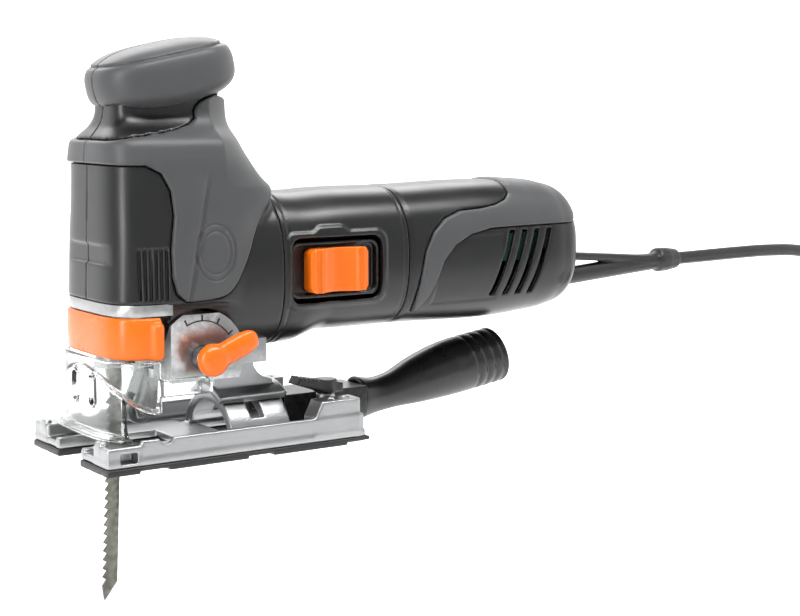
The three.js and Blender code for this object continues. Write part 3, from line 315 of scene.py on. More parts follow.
# %% Materials
surface("shell_plastic", (0.0055, 0.0057, 0.006), 0.30, grain_scale=1500, grain_depth=0.035, drift=0.2,
        spread=0.05, gloss_level=0.45, worn=(0.02, 0.02, 0.021))
surface("grip_rubber", (0.052, 0.053, 0.055), 0.42, grain_scale=2600, grain_depth=0.025, drift=0.08,
        sheen=0.05, gloss_level=0.36, worn=(0.09, 0.09, 0.092))
surface("orange_plastic", (0.70, 0.128, 0.002), 0.27, grain_scale=900, grain_depth=0.006, drift=0.06,
        coat=0.12, gloss_level=0.35, worn=(0.95, 0.27, 0.02))
surface("cast_metal", (0.36, 0.365, 0.37), 0.34, 1.0, grain_scale=1100, grain_depth=0.10, drift=0.10,
        spread=0.08, patch_scale=90, worn=(0.66, 0.66, 0.66))
surface("machined_steel", (0.26, 0.26, 0.26), 0.28, 1.0, grain_scale=1800, grain_depth=0.03,
        stretch=(0.2, 0.2, 6.0), patch_scale=120, worn=(0.6, 0.6, 0.6))
surface("blade_steel", (0.12, 0.118, 0.098), 0.36, 1.0, grain_scale=1500, grain_depth=0.04,
        stretch=(8.0, 1.0, 0.4), patch_scale=120, worn=(0.30, 0.30, 0.28))
surface("core_steel", (0.20, 0.20, 0.21), 0.45, 1.0, stretch=(12.0, 0.3, 0.3), grain_depth=0.06)
surface("copper_winding", (0.50, 0.19, 0.07), 0.35, 0.9, stretch=(0.5, 14.0, 14.0), grain_depth=0.08)
surface("bush_bronze", (0.48, 0.30, 0.12), 0.40, 1.0, grain_depth=0.05)
surface("sole_plastic", (0.008, 0.008, 0.0085), 0.45, grain_scale=1200, grain_depth=0.10,
        stretch=(0.3, 5.0, 5.0), worn=(0.06, 0.06, 0.06))
surface("dark_plastic", (0.007, 0.007, 0.0075), 0.28, grain_scale=1800, grain_depth=0.03,
        worn=(0.045, 0.045, 0.045))
surface("brush_carbon", (0.03, 0.03, 0.032), 0.55, grain_scale=1500, grain_depth=0.08)
surface("circuit_board", (0.02, 0.10, 0.05), 0.35, grain_scale=900, grain_depth=0.03)
surface("cord_rubber", (0.012, 0.012, 0.0125), 0.42, grain_scale=1900, grain_depth=0.03,
        worn=(0.035, 0.035, 0.035))

clear = bpy.data.materials.new("clear_plastic")
clear.use_nodes = True
clear_shader = clear.node_tree.nodes["Principled BSDF"]
clear_shader.inputs["Base Color"].default_value = (0.93, 0.96, 0.95, 1)
clear_shader.inputs["IOR"].default_value = 1.50
clear_shader.inputs["Transmission Weight"].default_value = 1.0
place = add_node(clear.node_tree, "TexCoord").outputs["Object"]
scuffs = add_node(clear.node_tree, "Group", node_tree=grain)
clear.node_tree.links.new(place, scuffs.inputs["Vector"])
scuffs.inputs["Patch Scale"].default_value = 220
haze = add_node(clear.node_tree, "MapRange",
                {"From Min": 0.45, "From Max": 0.8, "To Min": 0.03, "To Max": 0.22},
                {"Value": scuffs.outputs["Patch"]})
clear.node_tree.links.new(haze.outputs[0], clear_shader.inputs["Roughness"])
materials["clear_plastic"] = clear
print("materials", len(materials))

# %% [markdown]
# ## Solid fields
# A moulded casing is easiest to describe as a field: a function that is negative inside the
# piece, zero on its surface and grows with distance outside. Two fields join with a rounded
# minimum, which leaves the fillet that a mould has, and one cuts another with a rounded maximum.
# Fields are in millimetres, because a tool maker thinks in them.

# %% Field tools
def fuse(a, b, fillet=0.5):
    """The smaller of two fields, with a rounded fillet where they are nearly equal."""
    share = np.clip(0.5 + 0.5 * (b - a) / fillet, 0, 1)
    return b * (1 - share) + a * share - fillet * share * (1 - share)


def common(a, b, edge=0.5):
    """The larger of two fields, with a rounded edge: what both solids hold."""
    return -fuse(-a, -b, edge)


def carve(body, tool, edge=0.4):
    """The body without the tool."""
    return -fuse(-body, tool, edge)


def between(value, low, high):
    """Negative between two planes."""
    return np.maximum(low - value, value - high)


def brick(x, y, z, low, high, edge=0.6):
    """A box with edges rounded by edge: distance outside plus the largest face distance inside."""
    gaps = [np.abs(v - (a + b) / 2) - (b - a) / 2 + edge for v, a, b in zip((x, y, z), low, high)]
    outside = sum(np.maximum(gap, 0) ** 2 for gap in gaps) ** 0.5
    inside = np.minimum(np.maximum(np.maximum(gaps[0], gaps[1]), gaps[2]), 0)
    return outside + inside - edge


def disc(u, v, centre, radius):
    """Distance to a round bar, seen along its axis."""
    return np.hypot(u - centre[0], v - centre[1]) - radius


def capsule(u, v, start, end, radius):
    """Distance to a slot with round ends, seen along its axis."""
    along = np.subtract(end, start)
    t = np.clip(((u - start[0]) * along[0] + (v - start[1]) * along[1]) / (along @ along), 0, 1)
    return np.hypot(u - start[0] - t * along[0], v - start[1] - t * along[1]) - radius


def outline(u, v, points):
    """Signed distance to a closed outline: the nearest side gives the size, even-odd crossings the sign."""
    points = np.asarray(points, float)
    nearest, inside = 1e9, False
    for a, b in zip(points, np.roll(points, -1, axis=0)):
        side = b - a
        t = np.clip(((u - a[0]) * side[0] + (v - a[1]) * side[1]) / (side @ side), 0, 1)
        nearest = np.minimum(nearest, (u - a[0] - t * side[0]) ** 2 + (v - a[1] - t * side[1]) ** 2)
        if side[1]:
            inside = inside ^ (((a[1] > v) != (b[1] > v)) & (u < a[0] + (v - a[1]) * side[0] / side[1]))
    return np.where(inside, -1, 1) * np.sqrt(nearest)


def rounded(points, times=2):
    """Corner cutting: each side gives its quarter and three-quarter points, so corners turn into arcs."""
    points = np.asarray(points, float)
    for _ in range(times):
        after = np.roll(points, -1, axis=0)
        points = np.stack([0.75 * points + 0.25 * after, 0.25 * points + 0.75 * after], 1).reshape(-1, 2)
    return points


def through(value, at, heights):
    """A smooth curve through points: on each span, a cubic whose end slopes come from its neighbours."""
    at, heights = np.asarray(at, float), np.asarray(heights, float)
    slopes = np.gradient(heights, at)
    value = np.clip(value, at[0], at[-1])
    i = np.clip(np.searchsorted(at, value, side="right") - 1, 0, len(at) - 2)
    span = at[i + 1] - at[i]
    t = (value - at[i]) / span
    rise = (1 + 2 * t) * (1 - t) ** 2 * heights[i] + t * t * (3 - 2 * t) * heights[i + 1]
    return rise + span * (t * (1 - t) ** 2 * slopes[i] - t * t * (1 - t) * slopes[i + 1])


# %% [markdown]
# A surface net turns a field into a mesh. Space is cut into small cells, each cell that the
# surface passes gets one point at the mean of its edge crossings, and each crossed edge gets one
# four-sided face between its four cells. The points then slide along the slope of the field
# until it is zero, so curves come out smooth and not stepped.

# %% Surface net
def net(field, low, high, step):
    """Points and four-sided faces of the zero surface of a field inside a box, in millimetres."""
    axes = [np.arange(a - 1.6 * step, b + 2.6 * step, step) for a, b in zip(low, high)]
    value = np.broadcast_to(field(*np.meshgrid(*axes, indexing="ij", sparse=True)), [len(a) for a in axes])
    value = np.array(value, np.float32)
    solid = value < 0
    wide, deep, tall = (count - 1 for count in solid.shape)
    corners = sum(solid[i:i + wide, j:j + deep, k:k + tall].astype(np.int8)
                  for i in (0, 1) for j in (0, 1) for k in (0, 1))
    mixed = (corners > 0) & (corners < 8)
    number = np.full(mixed.shape, -1)
    number[mixed] = np.arange(mixed.sum())
    faces, hits = [], []
    for axis in range(3):
        ahead = [slice(None)] * 3
        here = [slice(None)] * 3
        ahead[axis], here[axis] = slice(1, None), slice(None, -1)
        first, second = value[tuple(here)], value[tuple(ahead)]
        crossed = (first < 0) != (second < 0)
        place = np.array(np.nonzero(crossed))
        point = np.stack([axes[a][place[a]] for a in range(3)], 1)
        point[:, axis] += step * first[crossed] / (first[crossed] - second[crossed])
        u, v = [a for a in range(3) if a != axis]
        quad = []
        for du, dv in ((0, 0), (-1, 0), (-1, -1), (0, -1)):
            cell = place.copy()
            cell[u] += du
            cell[v] += dv
            quad.append(number[tuple(cell)])
        quad = np.stack(quad, 1)
        turn = (first[crossed] >= 0) ^ (axis == 1)
        quad[turn] = quad[turn][:, ::-1]
        faces.append(quad)
        hits.append((quad, point))
    index = np.concatenate([quad.ravel() for quad, _ in hits])
    points = np.concatenate([np.repeat(point, 4, axis=0) for _, point in hits])
    share = np.maximum(np.bincount(index, minlength=mixed.sum()), 1)
    points = np.stack([np.bincount(index, points[:, a], mixed.sum()) / share for a in range(3)], 1)
    return slide(field, points, step), np.concatenate(faces)


def slide(field, points, step, rounds=3):
    """Moves points to the zero surface: against the field's value over its slope, a step at most."""
    for _ in range(rounds):
        x, y, z = points.T
        value = field(x, y, z)
        h = 0.25 * step
        slope = np.stack([field(x + h, y, z) - field(x - h, y, z), field(x, y + h, z) - field(x, y - h, z),
                          field(x, y, z + h) - field(x, y, z - h)], 1) / (2 * h)
        shift = slope * (value / np.maximum((slope ** 2).sum(1), 0.05))[:, None]
        length = np.maximum(np.linalg.norm(shift, axis=1, keepdims=True), 1e-9)
        points = points - shift * np.minimum(1, 0.8 * step / length)
    return points


# %% [markdown]
# A finished piece is a mesh in metres at the origin. It rides on its body, names the slot of its
# finish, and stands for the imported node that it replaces.


def make_piece(name, points, faces, finish, body, replaced=()):
    """A mesh object from points in millimetres, riding on a body."""
    mesh = bpy.data.meshes.new(name)
    mesh.from_pydata(points * MM, [], faces.tolist())
    mesh.polygons.foreach_set("use_smooth", np.ones(len(mesh.polygons), bool))
    mesh.materials.append(materials[finish])
    made = bpy.data.objects.new(name, mesh)
    bpy.context.scene.collection.objects.link(made)
    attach(made, body)
    if replaced:
        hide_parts(*replaced)
    print(name, len(mesh.polygons), "faces")
    return made


def moulded(name, field, node, step, finish, body, grow=1.5):
    """A piece from a field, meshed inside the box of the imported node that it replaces."""
    low, high = (np.array(corner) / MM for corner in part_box(node))
    coarse = 1.0
    points, faces = net(field, low - grow, high + grow, step * coarse)
    return make_piece(name, points, faces, finish, body, [node])


GAP = 0.15  # half of the joint line between two mouldings

# %% [markdown]
# ## Sizes
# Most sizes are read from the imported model. The shape of each section comes from how the
# casings are drafted: the head is an upright squared oval, and the motor housing a rounder one.

# %% Sizes
HEAD_AT = [71.8, 98, 119, 125, 135, 142, 148, 170]
HEAD_FRONT = [-56.5, -55.5, -54.8, -54.6, -54.2, -53, -48.5, -47.5]
HEAD_REAR = [6, 12, 25.2, 20, 14, 11, 8.5, 7.5]
HEAD_SIDE = [34.5, 34.5, 34, 33.5, 32.5, 29.5, 21.5, 20]
HEAD_BASE = 71.8
HEAD_END = 25.85
NECK_TOP = 170
WALL = 2.6
ARCH = (-16, 46.5)  # the middle of the round arch above the orbital lever, x and z
GRIP = rounded([(-66, 131.5), (-27, 131.5), (-34.5, 72.1), (-9, 72.1), (-1, 76), (6, 88), (13, 105),
                (24.5, 120), (24.5, 154), (4, 162.5), (-11, 158), (-11, 147), (-66, 140.5)], 2)
SCREWS = [(-44, 82), (-8, 96), (16, 62), (-30, 156), (0, 146)]
REAR_GRIP = rounded([(98.5, 58), (107.5, 104.5), (158.5, 107), (166, 122), (190, 125), (203, 122), (203, 97),
                     (183.7, 97.4), (119.5, 96.5), (105, 58)], 2)
BARREL_Z = 84
COIL_X, COIL_Y = [round(float(a + b) / MM / 2, 2) for a, b in list(zip(*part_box("cord_coil")))[:2]]


def oval(u, v, half_u, half_v, power):
    """Distance-like field of a squared oval: (p-norm of (u/a, v/b) - 1) times the local size."""
    reach = (np.abs(u / half_u) ** power + np.abs(v / half_v) ** power) ** (1 / power)
    return (reach - 1) * np.minimum(half_u, half_v)


def column(x, y, z):
    """The head's upright casing, without its ends."""
    front, rear, side = (through(z, HEAD_AT, at) for at in (HEAD_FRONT, HEAD_REAR, HEAD_SIDE))
    side = side - 9 * np.clip((z - 121) / 22, 0, 1) * np.clip((x + 4) / 16, 0, 1)
    return oval(x - (front + rear) / 2, y, (rear - front) / 2, side, 4)


def barrel(x, y, z):
    """The motor's casing, without its ends; its chin is lower over the foot and it waists behind."""
    chin = np.clip((56 - x) / 18, 0, 1)
    chin = chin * chin * (3 - 2 * chin)
    middle, high = BARREL_Z - 2.4 * chin, 34 + 2.4 * chin
    high = high - 0.9 * np.exp(-((x - 44) / 13) ** 2)
    return oval(y, z - middle, 33, high, 2.5)


def head(x, y, z):
    """Column and barrel run together with a broad fillet."""
    stub = common(barrel(x, y, z), between(x, -31, 60), 1.0)
    return fuse(column(x, y, z), stub, 5)


print("field at the head's centre", round(float(head(-25.0, 0.0, 100.0)), 1))

# %% [markdown]
# ## Head shells
# The two black shells are mouldings in glass-filled nylon, screwed together from the tool's
# right. Their outside is the head field between the base and the neck, and their hollow is the
# same field one wall further in. Fine slits in the cheeks let the cooling air out.

# %% Head shells
def casing(x, y, z, inset):
    """The head's outside taken in by inset: the column stops at its base, the barrel's stub goes lower."""
    stub = common(barrel(x, y, z) + inset, between(x, -31, 60), 1.0)
    return fuse(common(column(x, y, z) + inset, HEAD_BASE - z - 1.5 * (inset > 0), 0.8), stub, 5)


def head_shell(side):
    """The field of one shell; side is -1 for the tool's left and 1 for its right."""
    def field(x, y, z):
        whole = head(x, y, z)
        body = common(common(casing(x, y, z, 0), z - NECK_TOP, 1.0), x - HEAD_END, 0.5)
        arch = disc(x, z, ARCH, 21.5) + 0 * y
        hollow = np.maximum(casing(x, y, z, WALL), np.minimum(2.4 - arch, x + 11.5))
        body = carve(body, hollow, 0.4)
        body = carve(body, arch, 0.8)
        notch = np.maximum(between(z, 88.5, 96.5), x + 54.7) + 0 * y
        body = carve(body, notch, 1.2)
        slits = np.maximum(np.maximum(between(z, 73, 95.6), between(x, -47, -33)), -1.1 - whole)
        body = carve(body, np.maximum(slits, 0.5 - np.abs((x + 60) % 2.4 - 1.2)), 0.15)
        bed = common(outline(x, z, GRIP) - 0.35 + 0 * y, -1.2 - whole, 0.3)
        body = carve(body, bed, 0.3)
        if side > 0:
            for place in SCREWS:
                body = carve(body, np.maximum(disc(x, z, place, 3.9), 24 - y), 0.3)
        return common(body, GAP - side * y, 0.35)
    return field


for side, hand in ((-1, "left"), (1, "right")):
    node = f"head_shell_{hand}"
    moulded(node + "_visual", head_shell(side), node, 0.8, "shell_plastic", "housing")

# %% [markdown]
# ## Soft grips
# Grey thermoplastic rubber is moulded over the shells: a band round the head, a leg down each
# side and the web behind the neck. The leg bulges into a roll with a crease, and the web has an
# embossed double oval.

# %% Head grips
CREASE = [(-8.4, 147), (-24.3, 70.7)]


def head_grip(side):
    """A skin on the head inside the grip's outline, with its roll, crease and embossed oval."""
    def field(x, y, z):
        whole = head(x, y, z)
        across = (x - CREASE[0][0]) * 0.979 - (z - CREASE[0][1]) * 0.204
        low = np.clip((130 - z) / 10, 0, 1)
        roll = 1.3 * np.exp(-((across + 6.5) / 6) ** 2) * low
        crease = 1.0 * np.exp(-(across / 1.0) ** 2) * low
        ring = ((x + 10.5) / 9.8) ** 2 + ((z - 93) / 12.4) ** 2
        reach = np.sqrt(ring)
        loops = np.exp(-((reach - 1) / 0.055) ** 2) + np.exp(-((reach - 0.76) / 0.07) ** 2)
        top = whole - 1.5 - roll * 0.8 + crease + 0.7 * loops + 0 * y
        body = common(top, -0.9 - whole, 0.25)
        edge = outline(x, z, GRIP) + 0 * y
        body = common(body, edge, 1.0)
        if side > 0:
            for place in SCREWS:
                body = carve(body, np.maximum(disc(x, z, place, 3.9), 10 - y), 0.3)
        return common(body, GAP - side * y, 0.5)
    return field


moulded("head_grip_left_visual", head_grip(-1), "head_grip_left", 0.52, "grip_rubber", "housing", 3)
moulded("head_grip_right_visual", head_grip(1), "head_grip_right", 0.7, "grip_rubber", "housing", 3)

# %% [markdown]
# ## Mushroom knob
# The palm rests on a fat oval knob, tilted up to the rear. It is a superellipsoid with a
# flattened top, split on the centre plane by the joint of its two covers.

# %% Knob covers
KNOB_TURN = math.radians(12)
KNOB_PLACE = (-18.5, 170.5)


def knob_axes(x, z):
    """Places along the knob's tilted length and through its thickness."""
    u, w = x - KNOB_PLACE[0], z - KNOB_PLACE[1]
    cos, sin = math.cos(KNOB_TURN), math.sin(KNOB_TURN)
    return u * cos + w * sin, w * cos - u * sin


def knob(x, y, z):
    """|u|^n + |v|^n + |w|^n = 1 in the knob's own tilted axes, with a softer top."""
    u, w = knob_axes(x, z)
    w = w + 0.3
    flat = (np.abs(u / 33) ** 2.6 + np.abs(y / 26.5) ** 2.6) ** (1 / 2.6)
    height = np.where(w > 0, 14.6, 14.4)
    return ((flat ** 2.9 + np.abs(w / height) ** 2.9) ** (1 / 2.9) - 1) * 11.5


def knob_cover(side):
    """Half of the knob, hollow over the neck, with the rim line of its top pad."""
    def field(x, y, z):
        rim = knob_axes(x, z)[1]
        whole = knob(x, y, z)
        groove = 0.4 * np.exp(-((rim - 8.8) / 0.5) ** 2)
        body = carve(whole + groove, common(head(x, y, z) - 0.3, between(z, 100, 170.3), 0.5), 0.4)
        return common(body, GAP - side * y, 0.5)
    return field


for side, hand in ((-1, "left"), (1, "right")):
    node = f"knob_cover_{hand}"
    moulded(node + "_visual", knob_cover(side), node, 0.8, "grip_rubber", "housing", 5)

# %% [markdown]
# ## Motor housing
# A one-piece moulded tube between the head and the rear cover. It holds the field windings. It
# steps down by a hair at both seams, and the switch sits in a raised rim on the left. The rim is
# the housing's own field, let out where a rounded outline round the window says so.

# %% Motor housing
def motor_housing(x, y, z):
    """The barrel between its seams with a shadow line at each end and the switch window."""
    whole = barrel(x, y, z)
    seam = 0.5 * np.exp(-((x - 29.5) / 0.5) ** 2) + 0.3 * np.exp(-((x - 92.5) / 0.4) ** 2)
    left = np.clip((-15 - y) / 4, 0, 1)
    frame_out = brick(x, 0 * y, z, (27.5, -9, 64), (81.5, 9, 99), 5)
    hump = fuse(frame_out, brick(x, 0 * y, z, (44, -9, 90), (60, 9, 101.5), 3), 3)
    raised = 0.85 * np.clip(0.5 - hump / 1.6, 0, 1) * left
    body = common(whole + seam - raised, between(x, 26.15, 94.35), 0.7)
    body = carve(body, whole + WALL, 0.4)
    window = common(brick(x, 0 * y, z, (30, -9, 66.5), (79, 9, 96.5), 5), y + 20, 0.4)
    return carve(body, window, 0.8)


moulded("motor_housing_visual", motor_housing, "motor_housing", 0.75, "shell_plastic", "housing", 2)


def switch_tray(x, y, z):
    """A shallow tray behind the window with a thin lip and the slot for the slide's tongue."""
    flat = common(brick(x, 0 * y, z, (28, -9, 68), (81, 9, 95), 5), between(y, -26.9, -25.4), 0.3)
    lip = common(brick(x, 0 * y, z, (30.3, -9, 68.5), (78.7, 9, 94.5), 4.6), between(y, -30.5, -26), 0.4)
    body = fuse(flat, lip, 0.4)
    pocket = common(brick(x, 0 * y, z, (31.8, -9, 70.1), (77.2, 9, 92.9), 3.6), y + 27, 0.3)
    slot = brick(x, 0 * y, z, (42, -9, 78), (66, 9, 84), 1)
    return carve(carve(body, pocket, 0.4), slot + 0 * y, 0.3)


moulded("switch_tray_visual", switch_tray, "switch_tray", 0.6, "dark_plastic", "housing")


def switch_slider(x, y, z):
    """A thumb slide: concave in the middle, two ribs at each end."""
    swell = np.clip(np.abs(x - 54.5) / 11, 0, 1)
    face = -31.7 - 3.3 * swell ** 2 * (3 - 2 * swell)
    far = np.abs(x - 54.5)
    ribs = 1.1 * (np.exp(-((far - 13.4) / 0.7) ** 2) + np.exp(-((far - 9.6) / 0.75) ** 2))
    thick = np.maximum(face - ribs + 0.3 - y, y + 27.3)
    body = common(brick(x, 0 * y, z, (39, -9, 71), (70, 9, 91.5), 3), thick, 0.5)
    tongue = brick(x, y, z, (51, -29, 79), (57, -25.3, 83), 0.3)
    return fuse(body, tongue, 0.3)


moulded("switch_slider_visual", switch_slider, "switch_slider", 0.5, "orange_plastic", "switch")

# %% [markdown]
# ## Rear cover and its soft grip
# The rear cover carries the control board, the brushes and the cord. Slanted slots draw cooling
# air in; the ribs between them stand a little proud. A grey hockey-stick strip of soft rubber
# runs over it.

# %% Rear cover
COVER_AT = [94.65, 174, 191, 201, 206]
COVER_PLACE = [84, 84, 84, 83.7, 83]
COVER_SIDE = [33, 33, 32, 29, 24]
COVER_HIGH = [34, 34, 32, 28.5, 23]


def cover(x, y, z):
    """The barrel's rounder rear end, without its ends."""
    middle, side, high = (through(x, COVER_AT, at) for at in (COVER_PLACE, COVER_SIDE, COVER_HIGH))
    return oval(y, z - middle, side, high, 2.5)


def rear_cover(x, y, z):
    """Hollow cover with vent slots, dial slot, smooth side panels and cord openings."""
    whole = cover(x, y, z)
    seam = 0.3 * np.exp(-((x - 96.8) / 0.4) ** 2)
    panel = outline(x, z, [(110, 60), (150, 60), (152, 94), (112, 94)]) + 0 * y
    sunk = 0.35 * np.clip(-panel / 1.2, 0, 1)
    body = common(whole + seam + sunk, between(x, 94.65, 206), 2.6)
    body = carve(body, common(whole + WALL, x - 203.4, 1), 0.4)
    body = carve(body, common(outline(x, z, REAR_GRIP) - 0.35 + 0 * y, -1.2 - whole, 0.3), 0.3)
    for i in range(4):
        middle = 146.8 + 8 * i + 0.32 * (z - 63)
        slot = np.maximum(np.abs(x - middle) - 1.8, between(z, 63, 95)) + 0 * y
        body = carve(body, slot, 0.7)
    body = carve(body, np.maximum(disc(y, z, (0, 64.5), 4.9), 190 - x), 0.3)
    body = carve(body, brick(x, y, z, (190, -4.5, 75.1), (240, 4.5, 79.7), 0.6), 0.3)
    return carve(body, brick(x, y, z, (119, 20, 81), (137, 60, 87), 0.8), 0.5)


moulded("rear_cover_visual", rear_cover, "rear_cover", 0.78, "shell_plastic", "housing")


def rear_grip(x, y, z):
    """A skin over the cover inside the strip's outline."""
    whole = cover(x, y, z)
    body = common(whole - 1.4, -0.9 - whole, 0.25)
    return common(body, outline(x, z, REAR_GRIP) + 0 * y, 0.9)


moulded("rear_grip_visual", rear_grip, "rear_grip", 0.7, "grip_rubber", "housing", 2)

# %% [markdown]
# ## Release lever
# A glossy orange band wraps the head's foot. It swings out on an upright pin and opens the blade
# clamp; the thumb pulls it by a raised tab on the left.

# %% Release lever
def base_oval(x, y):
    """The head's bottom outline, which the band and both guards follow."""
    return oval(x + 25.25, y, 31.25, 34.5, 4)


HINGE = (-35.5, 30.3)


def release_lever(x, y, z):
    """A band three millimetres thick with soft edges, a thumb tab and a hinge eye."""
    belly = 0.35 * np.cos(np.clip((z - 56.75) / 9.2, -1, 1) * math.pi / 2)
    ring = common(base_oval(x, y) - 0.5 - belly, -(base_oval(x, y) + 2.3), 0.6)
    band = common(ring, between(z, 47.5, 66), 1.6)
    band = common(band, x + 35.5, 0.5)
    band = carve(band, np.maximum(-37 - x, y), 0.6)
    tab = brick(x, y, z, (-41.5, -37.3, 47.7), (-36.4, -32.5, 63.5), 2.0)
    eye = common(disc(x, y, HINGE, 4) + 0 * z, between(z, 47.5, 66), 0.8)
    return carve(fuse(fuse(band, tab, 1.8), eye, 1.5), disc(x, y, HINGE, 1.9) + 0 * z, 0.3)


moulded("release_lever_visual", release_lever, "release_lever", 0.6, "orange_plastic", "release")

# %% [markdown]
# ## Clear guards
# A curved screen of polycarbonate keeps chips off the user and helps the suction. The upper part
# clips beside the gearbox, the lower one tilts with the foot, and both share two tall slots.

# %% Clear guards
def screen(x, y, z, bottom):
    """A two millimetre wall round the base outline with two upright slots."""
    wall = base_oval(x, y)
    flare = 1.6 * np.clip((24 - z) / 12, 0, 1) ** 2
    body = common(wall - 2 - flare, -(wall - flare), 0.4)
    body = common(body, between(z, bottom, 46.9), 0.7)
    for place in (-9, 9):
        slot = np.maximum(capsule(y, z, (place, 28.5), (place, 37), 2.3), x + 45)
        rim = np.maximum(capsule(y, z, (place, 28.5), (place, 37), 3.5), x + 45)
        rim = common(common(rim, wall - 2.7, 0.3), -wall, 0.3)
        body = carve(fuse(body, rim, 0.5), slot, 0.5)
    return body


def chip_guard(x, y, z):
    """The upper screen outside the circle that the foot sweeps, with its side wings."""
    sweep = 43.15 - np.hypot(y, z) + 0 * x
    body = common(common(screen(x, y, z, 20), x + 38, 0.4), sweep, 0.4)
    wing = common(brick(x, np.abs(y), z, (-39, 34.5, 31), (-13, 36.5, 39), 0.8), between(x, -60, -13), 0.4)
    boss = common(disc(x, z, (-17, 35), 3.2), between(np.abs(y), 34.5, 37.4), 0.5)
    return fuse(fuse(body, wing, 0.8), boss, 0.6)


def foot_guard(x, y, z):
    """The lower screen inside the swept circle, with a flared lip."""
    sweep = np.hypot(y, z) - 42.75 + 0 * x
    lip = common(common(base_oval(x, y) - 6, -base_oval(x, y), 0.4), between(z, 12.7, 14.5), 0.5)
    body = fuse(screen(x, y, z, 12.7), lip, 1.5)
    return common(common(body, x + 52.6, 0.4), sweep, 0.4)


moulded("chip_guard_visual", chip_guard, "chip_guard", 0.6, "clear_plastic", "head_guard")
moulded("foot_guard_visual", foot_guard, "foot_guard", 0.6, "clear_plastic", "foot")

# %% [markdown]
# ## Foot
# The foot is a die casting: a floor with rails, two prongs beside the blade, raised blocks
# behind and a saddle that the tilt joint turns in. Die castings have drafted walls and fillets
# everywhere, which is what the rounded joins give.

# %% Foot plate
def foot_plate(x, y, z):
    """Floor, rails, prongs, rear blocks and saddle, less its slot, windows and recesses."""
    side = np.abs(y)
    body = brick(x, y, z, (-66, -40.5, 3.5), (64.5, 40.5, 6.7), 1.0)
    rail = brick(x, side, z, (-50, 37.9, 3.5), (63.5, 40.5, 14.3), 0.9)
    prong = brick(x, side, z, (-66, 25, 3.5), (-49, 40.5, 12.4), 1.2)
    inner = brick(x, side, z, (-66, 12.2, 3.5), (-49, 16, 8.4), 1.0)
    upturn = brick(x, side, z, (-66, 27, 8), (-62.5, 33, 14.2), 1.2)
    block = outline(x, z, [(37, 6.3), (61.5, 6.3), (61.5, 21.7), (41, 21.7), (37, 14.3)])
    block = common(block + 0 * y, between(side, 29.5, 40.5), 1.1)
    back = brick(x, y, z, (58.5, -40.5, 3.5), (61.5, 40.5, 14.3), 0.8)
    post = common(disc(x, y, (55, -20), 4.5) + 0 * z, between(z, 4.5, 22), 0.6)
    drum = np.hypot(y, z)
    saddle = common(common(drum - 25, 20.5 - drum, 0.4) + 0 * x, np.maximum(between(x, 3, 34), 4 - z), 0.5)
    for part, fillet in ((rail, 1.2), (prong, 1.2), (inner, 0.8), (upturn, 1.0), (block, 1.2), (back, 1.0),
                         (post, 1.2), (saddle, 1.6)):
        body = fuse(body, part, fillet)
    body = carve(body, brick(x, y, z, (-80, -12, -9), (-18, 12, 30), 0.5), 0.6)
    body = carve(body, brick(x, y, z, (6, -18, -9), (28, 18, 12), 0.5), 0.5)
    beside = np.maximum(brick(x, y, z, (0.5, -31, -9), (36.5, 31, 9), 0.5), 25 - drum)
    body = carve(body, beside, 0.5)
    body = carve(body, brick(x, side, z, (-60, 34, 5), (-52, 60, 9.5), 0.6), 0.6)
    fan = side * 0.8087 - z * 1.1764  # negative up to 55 degrees each way from upright
    slot = np.maximum(np.maximum(between(x, 14.6, 21.4), drum - 27), np.maximum(fan, 12 - z))
    body = carve(body, slot, 0.4)
    body = carve(body, brick(x, y, z, (53.5, -12.3, 6.7), (66.5, 12.3, 30), 0.3), 0.3)
    for place in (49.2, 56.2):
        recess = np.maximum(disc(x, side, (place, 35), 2.1) + 0 * z, 19.5 - z)
        body = carve(body, recess, 0.4)
    scoop = np.maximum(disc(x, z, (-38, 15.3), 3.6) + 0 * y, 36 - side)
    return carve(body, scoop, 0.6)


moulded("foot_plate_visual", foot_plate, "foot_plate", 0.66, "cast_metal", "foot")


def sole_shoe(x, y, z):
    """A glide shoe in stepped pads, open where the blade and the clamp key pass."""
    body = brick(x, y, z, (-66.5, -41, 0), (66.5, 41, 3.2), 0.7)
    body = carve(body, brick(x, y, z, (-80, -12, -9), (-18, 12, 9), 0.5), 0.4)
    body = carve(body, brick(x, y, z, (6, -18, -9), (28, 18, 9), 0.5), 0.4)
    for start, end in ((-51, -37), (2, 15), (54, 90)):
        body = carve(body, brick(x, np.abs(y), z, (start, 36, -9), (end, 60, 1.5), 0.3), 0.3)
    groove = np.maximum(np.abs((y + 100) % 12 - 6) - 1.0, z - 0.35) + 0 * x
    return carve(body, groove, 0.15)


moulded("sole_shoe_visual", sole_shoe, "sole_shoe", 0.62, "sole_plastic", "foot")

# %% [markdown]
# ## Tilt joint and clamp
# A cast neck reaches down from the gearbox to a flange that lies in the foot's saddle. A bolt
# from above clamps it, and a lever under the nozzle lets it go without tools.

# %% Tilt segment
def tilt_segment(x, y, z):
    """A curved flange, its neck with a concave rear, and the bolt's hole."""
    drum = np.hypot(y, z)
    flange = common(common(drum - 28.9, 25.3 - drum, 0.5) + 0 * x, between(x, 1, 36), 0.8)
    flange = common(flange, np.abs(y) * 0.809 - z * 0.588, 0.8)
    neck = outline(x, z, [(2, 27), (32, 27), (32, 29.2), (27.5, 30.6), (24.3, 33), (22.4, 36), (21.6, 39.7),
                          (6, 39.7), (6, 35), (2, 34)])
    body = fuse(flange, common(neck + 0 * y, between(y, -10, 10), 0.8), 1.2)
    body = carve(body, disc(x, y, (18, 0), 2.6) + 0 * z, 0.3)
    return carve(body, np.maximum(disc(x, y, (18, 0), 5.0) + 0 * z, 34 - z), 0.4)


moulded("tilt_segment_visual", tilt_segment, "tilt_segment", 0.6, "cast_metal", "housing")


